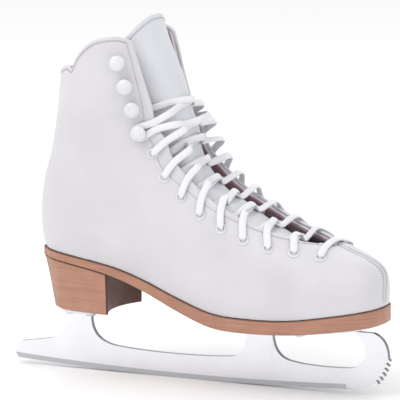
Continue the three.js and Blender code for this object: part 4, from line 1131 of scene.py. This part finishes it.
def build_blade():
    line = blade_outline()
    count = len(line)
    verts = [(x, y, z) for y in (-BLADE_THICKNESS / 2, BLADE_THICKNESS / 2) for x, z in line]
    faces = [tuple(range(count)), tuple(range(2 * count - 1, count - 1, -1))]
    faces += [(i, i + count, (i + 1) % count + count, (i + 1) % count) for i in range(count)]
    faces = outward(np.array(verts), faces)
    # The broad faces take the runner steel; the faces round its thickness take the darker copy, a painted
    # dark reflection.
    which = [0, 0] + [1] * count
    made = mesh_object("blade_runner", verts, faces, [RUNNER, RUNNER_SIDE_DARK_REFLECTION], None, which, 30)
    bevel(made, 0.35, 2, 30)
    return made


def mark_ground_band(obj):
    """Cuts the blade's faces at the top of the ground band, so that the band has its own clean edge."""
    mesh = bmesh.new()
    mesh.from_mesh(obj.data)
    for x in np.arange(-20, 236, 8):
        at = ((x - SHIFT) * MM, 0, 0)
        bmesh.ops.bisect_plane(mesh, geom=mesh.verts[:] + mesh.edges[:] + mesh.faces[:], plane_co=at,
                               plane_no=(1, 0, 0))
    for height in (GROUND_BAND, GROUND_BAND + 5):
        geometry = mesh.verts[:] + mesh.edges[:] + mesh.faces[:]
        bmesh.ops.bisect_plane(mesh, geom=geometry, plane_co=(0, 0, height * MM), plane_no=(0, 0, 1))
    mesh.to_mesh(obj.data)
    mesh.free()


def build_metal():
    blade = build_blade()
    mark_ground_band(blade)
    mesh = blade.data
    co = np.zeros(len(mesh.vertices) * 3)
    mesh.vertices.foreach_get("co", co)
    co = co.reshape(-1, 3) / MM + (SHIFT, 0, 0)
    up = np.where(co[:, 0] < 238, co[:, 2] - rocker(co[:, 0]), 50)
    if "edge" not in mesh.attributes:
        mesh.attributes.new("edge", "FLOAT", "POINT")
    mesh.attributes["edge"].data.foreach_set("value", up.astype(np.float32))
    fit(blade, "blade_steel", "blade")
    sole_half = spline([(248, 0), (247, 8), (240, 17), (222, 22), (200, 25), (172, 25), (152, 22),
                        (140, 15), (134.5, 8), (134, 0)], 10)
    heel_half = spline([(44.5, 0), (44.3, 8), (43, 14), (40, 19), (36, 20), (26, 20), (20, 19),
                        (15, 15), (11.2, 8), (11, 0)], 8)
    plates = (("sole_plate", sole_half, plate_under), ("heel_plate", heel_half, heel_plate_under))
    for node, half, low in plates:
        verts, faces, _ = slab(half, outwards_of(half), low, above_plate(low), PLATE_RINGS)
        fit(mesh_object(node + "_pressed", verts, faces, PLATE, smooth=40), "plate_steel", node)


build_metal()


def basis(normal):
    """Two directions across a normal."""
    normal = np.asarray(normal, float) / np.linalg.norm(normal)
    side = np.cross(normal, (0, 0, 1) if abs(normal[2]) < 0.9 else (1, 0, 0))
    side /= np.linalg.norm(side)
    return side, np.cross(normal, side), normal


def lathe(points, place, normal, segments=32, dent=None):
    """A turned piece on a normal: points are radius and height. dent lowers points by (x, y, radius)."""
    side, other, axis = basis(normal)
    verts, faces, rings = [], [], []
    for radius, height in points:
        if radius == 0:
            rings.append([len(verts)])
            verts.append(place + axis * height)
            continue
        rings.append(list(range(len(verts), len(verts) + segments)))
        for k in range(segments):
            x, y = radius * math.cos(math.tau * k / segments), radius * math.sin(math.tau * k / segments)
            lowered = height + (dent(x, y, radius) if dent else 0)
            verts.append(place + side * x + other * y + axis * lowered)
    for low, high in zip(rings, rings[1:]):
        for k in range(segments):
            n = (k + 1) % segments
            ring = [low[k % len(low)], low[n % len(low)], high[n % len(high)], high[k % len(high)]]
            faces.append(tuple(dict.fromkeys(ring)))
    return np.array(verts), faces


def dome(radius, bottom, top, steps=7):
    """Radius and height down a dome, from its rim to its middle."""
    return [(radius * math.cos(a), bottom + (top - bottom) * math.sin(a))
            for a in np.linspace(0, math.pi / 2, steps)[:-1]] + [(0, top)]


SOLE_SCREWS = [(146, 12), (146, -12), (200, 17), (200, -17), (236, 9)]
HEEL_SCREWS = [(20, 12), (20, -12), (37, 14), (37, -14)]


def slot_cut(x, y, radius):
    """How far a point of a screw's head is pushed in by its cross slot."""
    return 0.75 if radius < 2.5 and min(abs(x), abs(y)) < 0.42 else 0.0


def build_screws():
    places = [("sole", i, x, y, plate_under) for i, (x, y) in enumerate(SOLE_SCREWS)]
    places += [("heel", i, x, y, heel_plate_under) for i, (x, y) in enumerate(HEEL_SCREWS)]
    crown = [(r, -1.8 + 0.03 * r * r) for r in (0.3, 0.6, 0.9, 1.2, 1.5, 1.8, 2.1, 2.4, 2.7, 3.1)]
    head = [(0, -1.8), *crown, (3.6, -1.25), (3.8, -0.9), (3.8, -GAP), (1.8, -GAP), (1.8, 7), (0, 9)]
    for word, i, x, y, under in places:
        slope = float(under(x + 1) - under(x - 1)) / 2
        verts, faces = lathe(head, np.array([x, y, float(under(x))]), (-slope, 0, 1), 36, slot_cut)
        name = f"{word}_screw_{i + 1}"
        made = mesh_object(name + "_head", verts, outward(verts, faces), SCREW, smooth=35)
        fit(made, "screw_steel", name)


# ------------------------------------------------------------ eyelets and hooks
EYELETS, HOOKS, EYELET_PITCH, HOOK_PITCH, EYELET_SETBACK = 9, 4, 18.3, 17, 14
ROW_START, SETBACK_AT_TOE = 5.18, 9
EYELET_HOLE = 2.2
TURNS = np.linspace(0, math.pi, 1200)


def past_edge(t, distance):
    """The point and normal on the left skin of section t, a distance round from the throat's edge."""
    points = skin(t, TURNS)
    run = run_along(points)
    at_edge = np.interp(throat_half(t), points[:600, 1], run[:600])
    turn = np.interp(at_edge + distance, run, TURNS)
    return skin(t, turn), skin_normal(t, turn)


def row_point(t):
    near_toe = min(1, max(0, THROAT_END + 1 - t))
    return past_edge(t, EYELET_SETBACK + SETBACK_AT_TOE * near_toe)


def row_places():
    places, t = [], ROW_START
    point = row_point(t)[0]
    for gap in [0] + [EYELET_PITCH] * (EYELETS - 1) + [HOOK_PITCH] * HOOKS:
        run = 0
        while run < gap:
            t += 0.02
            following = row_point(t)[0]
            run += np.linalg.norm(following - point)
            point = following
        place, normal = row_point(t)
        if normal[1] < 0:
            normal = -normal
        places.append((t, place, normal))
    return places


ROW = row_places()
FLIP = {1: np.array([1, 1, 1]), -1: np.array([1, -1, 1])}


def build_eyelets_and_hooks():
    hole, barrel, flange = EYELET_HOLE, 2.7, 3.9
    eyelet = [(hole, -WALL_DEPTH - 0.3), (barrel, -WALL_DEPTH - 0.3), (barrel, -0.1), (flange, -0.1),
              (flange + 0.05, 0.2), (flange - 0.25, 0.62), (flange - 0.8, 0.85), (barrel + 0.1, 0.8),
              (hole + 0.15, 0.45), (hole, 0.1), (hole, -1.0), (hole, -WALL_DEPTH - 0.3)]
    neck = [(0, -WALL_DEPTH), (2, -WALL_DEPTH), (2, -0.1), (3.9, -0.1), (3.95, 0.25), (3.5, 0.6),
            (2.6, 0.85), (2.1, 1.3), (2, 2.2), (2.05, 3.6), (2.6, 4.3), (4.4, 4.5), (5.3, 4.6)]
    hook = neck + dome(5.65, 5.15, 7.7, 8)
    for word, side in (("left", 1), ("right", -1)):
        for i, (_, point, normal) in enumerate(ROW):
            is_hook = i >= EYELETS
            shape = hook if is_hook else eyelet
            verts, faces = lathe(shape, point * FLIP[side], normal * FLIP[side], 32)
            faces = outward(verts, faces)
            if is_hook:
                made = mesh_object(f"hook_{word}_{i - EYELETS + 1}_dome", verts, faces, ENAMEL, smooth=50)
                fit(made, "enamel", f"hook_{word}_{i - EYELETS + 1}")
                continue
            per_ring = 32
            # Faces from just under the flange down the bore take the near-black: painted shade in the hole.
            which = [1 if f // per_ring >= 9 else 0 for f in range(len(faces))]
            made = mesh_object(f"eyelet_{word}_{i + 1}_ring", verts, faces, [ENAMEL, BORE_PAINTED_SHADE], None, which, 60)
            fit(made, "enamel", f"eyelet_{word}_{i + 1}")


build_screws()
build_eyelets_and_hooks()

# ------------------------------------------------------------ the lace
LACE_RADIUS = 1.6  # of the room that it takes, on its route
FLAT, THICK, ROUND = 2.6, 0.95, 1.3  # half its width and thickness, and its radius in an eyelet
UNDER_WALL = -(WALL_DEPTH + LACE_RADIUS + 0.5)
OVER_TONGUE = THICK + 0.5


def lace_point(point, normal, side, raised, round_share=0.0):
    """A point of the lace's route: where it is, which way its flat side faces, and how round it is."""
    flipped = normal * FLIP[side]
    return np.concatenate([point * FLIP[side] + flipped * raised, flipped, [round_share]])


def over_skin(t, distance, raised, side):
    point, normal = past_edge(t, distance)
    normal = normal if normal[1] > 0 or normal[0] > 0 else -normal
    return lace_point(point, normal, side, raised)


def over_tongue(t, raised, side=1, share=0.0, flat=1):
    y = float(throat_half(t)) * share
    turn = float(turn_at(t, max(y, 0.01)))
    point, normal = skin(t, turn, flat), skin_normal(t, turn, flat)
    normal = normal if normal[0] > 0 else -normal
    if share == 0:
        point, normal = point * (1, 0, 1), normal * (1, 0, 1)
    return lace_point(point, normal, side, raised - TONGUE_DEPTH)


def off_edge(t, side):
    """Just inside the throat's edge, where the lace drops from the leather to the tongue."""
    return over_tongue(t, TONGUE_DEPTH + THICK - 0.7, side, 0.86, 0)


def through(i, side, inwards):
    _, point, normal = ROW[i]
    inner = past_edge(ROW[i][0], 2)[0] - point
    point = point + inner / np.linalg.norm(inner) * (EYELET_HOLE - ROUND)
    heights = [THICK + 0.9, 0.2, -WALL_DEPTH, UNDER_WALL - 0.4]
    rounds = [0.25, 1, 1, 0.6]
    steps = list(zip(heights, rounds))
    return [lace_point(point, normal, side, h, r) for h, r in (steps if inwards else steps[::-1])]


def half_lace(start, high):
    """Half the lace, from the bar over the throat's end to its tail inside the boot."""
    mid = THICK + (2 * THICK + 0.7 if high else 0.4) + TONGUE_CROWN
    over = THICK + 0.25
    side = start
    route = [over_skin(ROW[0][0] + 0.06, 9, over, side), *through(0, side, True)]
    for i in range(EYELETS - 1):
        t, following = ROW[i][0], ROW[i + 1][0]

        def between(share):
            return t + (following - t) * share

        route.append(over_skin(between(0.22), 2.5, over if i else UNDER_WALL, side))
        if i:
            route.append(off_edge(between(0.3), side))
        route += [over_tongue(between(0.4), OVER_TONGUE, side, 0.5), over_tongue(between(0.5), mid),
                  over_tongue(between(0.62), OVER_TONGUE, -side, 0.6),
                  over_skin(between(0.76), 4, UNDER_WALL, -side)]
        side = -side
        route += through(i + 1, side, False)
    top, (hook_t, hook, hook_normal) = ROW[EYELETS - 1][0], ROW[EYELETS]
    route += [over_skin(top + 0.2, 2.5, over, side), off_edge(top + 0.3, side),
              over_tongue(top + 0.4, OVER_TONGUE, side, 0.5), over_tongue(top + 0.55, mid),
              over_tongue(top + 0.7, OVER_TONGUE + 1, -side, 0.5),
              off_edge(top + 0.8, -side), over_skin(hook_t - 0.2, 2, over, -side)]
    up = ROW[EYELETS + 1][1] - hook
    up = up / np.linalg.norm(up)
    away = np.cross(up, hook_normal)
    away = away / np.linalg.norm(away) * (-1 if away[0] > 0 else 1)
    for degrees in (-80, -30, 30, 80):
        turn = math.radians(degrees)
        swung = hook + (away * math.cos(turn) + up * math.sin(turn)) * (2 + LACE_RADIUS + 0.5)
        route.append(lace_point(swung, hook_normal, -side, 0.8 + GAP + LACE_RADIUS, 0.35))
    route += [over_skin(hook_t + 0.2, 2.5, over, -side),
              off_edge(hook_t + 0.3, -side),
              over_tongue(hook_t + 0.42, OVER_TONGUE + 1, -side, 0.5), over_tongue(hook_t + 0.6, mid),
              over_tongue(hook_t + 0.75, OVER_TONGUE, side, 0.6)]
    route += [over_skin(hook_t + 0.85, d, UNDER_WALL - d * 0.06, side) for d in (3, 10, 18, 26)]
    return route


def ribbon(line, sides=14):
    """A flat braid along rows of place, facing and roundness, with its length and girth as UVs."""
    place, facing, rounded = line[:, :3], line[:, 3:6], np.clip(line[:, 6], 0, 1)
    along = np.gradient(place, axis=0)
    along /= np.linalg.norm(along, axis=1, keepdims=True)
    run = run_along(place)
    up = facing[0]
    verts = []
    for i in range(len(place)):
        wanted = facing[i] - along[i] * (facing[i] @ along[i])
        up = up - along[i] * (up @ along[i])
        up = up / np.linalg.norm(up)
        wanted = wanted if wanted @ up > 0 else -wanted
        up = up + wanted * np.linalg.norm(wanted) * 1.5
        up /= np.linalg.norm(up)
        side = np.cross(along[i], up)
        wide = FLAT + (ROUND - FLAT) * rounded[i]
        thick = THICK + (ROUND - THICK) * rounded[i]
        for k in range(sides):
            turn = math.tau * k / sides
            verts.append(place[i] + side * wide * math.cos(turn) + up * thick * math.sin(turn))
    faces, uvs = ring_faces(len(place), sides), []
    for i in range(len(place) - 1):
        for k in range(sides):
            a, b = k / sides, (k + 1) / sides
            uvs += [(run[i], a), (run[i], b), (run[i + 1], b), (run[i + 1], a)]
    faces += [tuple(range(sides))[::-1], tuple((len(place) - 1) * sides + k for k in range(sides))]
    uvs += [(0, 0)] * (2 * sides)
    return np.array(verts), faces, uvs, run[-1]


def build_lace():
    left, right = half_lace(1, False), half_lace(-1, True)
    bar = over_tongue(THROAT_END + 0.25, TONGUE_DEPTH + LACE_RADIUS + 0.8)
    line = spline([*left[::-1], bar, *right], 6)
    verts, faces, uvs, length = ribbon(line)
    made = mesh_object("lace_braid", verts, faces, LACE)
    layer = made.data.uv_layers.new(name="braid")
    layer.data.foreach_set("uv", np.array(uvs, np.float32).ravel())
    fit(made, "lace", "lace")
    print(f"laced length {length:.0f} mm")
    for word, route in (("a", left), ("b", right)):
        end, before = route[-1][:3], route[-2][:3]
        shape = [(0, GAP), (1.1, GAP), (1.3, 0.7), (1.3, 13.2), (0.9, 13.9), (0, 14)]
        verts, faces = lathe(shape, end, end - before, 20)
        fit(mesh_object(f"lace_tip_{word}_sleeve", verts, outward(verts, faces), TIP, smooth=50),
            "lace_tip", "lace_tip_" + word)


build_lace()

# ------------------------------------------------------------ what the CAD model still shows
for node, material in (("insole_board", FIBREBOARD), ("shank", PLATE)):
    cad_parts[node].data.materials.clear()
    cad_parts[node].data.materials.append(material)

# ------------------------------------------------------------ floor
FLOOR_HALF = 4.0


def add_floor():
    n = Nodes("floor", Roughness=0.7, Specular_IOR_Level=0.1)
    n.shader.inputs["Base Color"].default_value = linear(247, 247, 248)
    data = bpy.data.meshes.new("floor")
    corners = [(x * FLOOR_HALF, y * FLOOR_HALF, 0) for x, y in ((-1, -1), (1, -1), (1, 1), (-1, 1))]
    data.from_pydata(corners, [], [(0, 1, 2, 3)])
    data.materials.append(n.material)
    floor = bpy.data.objects.new("floor", data)
    bpy.context.scene.collection.objects.link(floor)


add_floor()
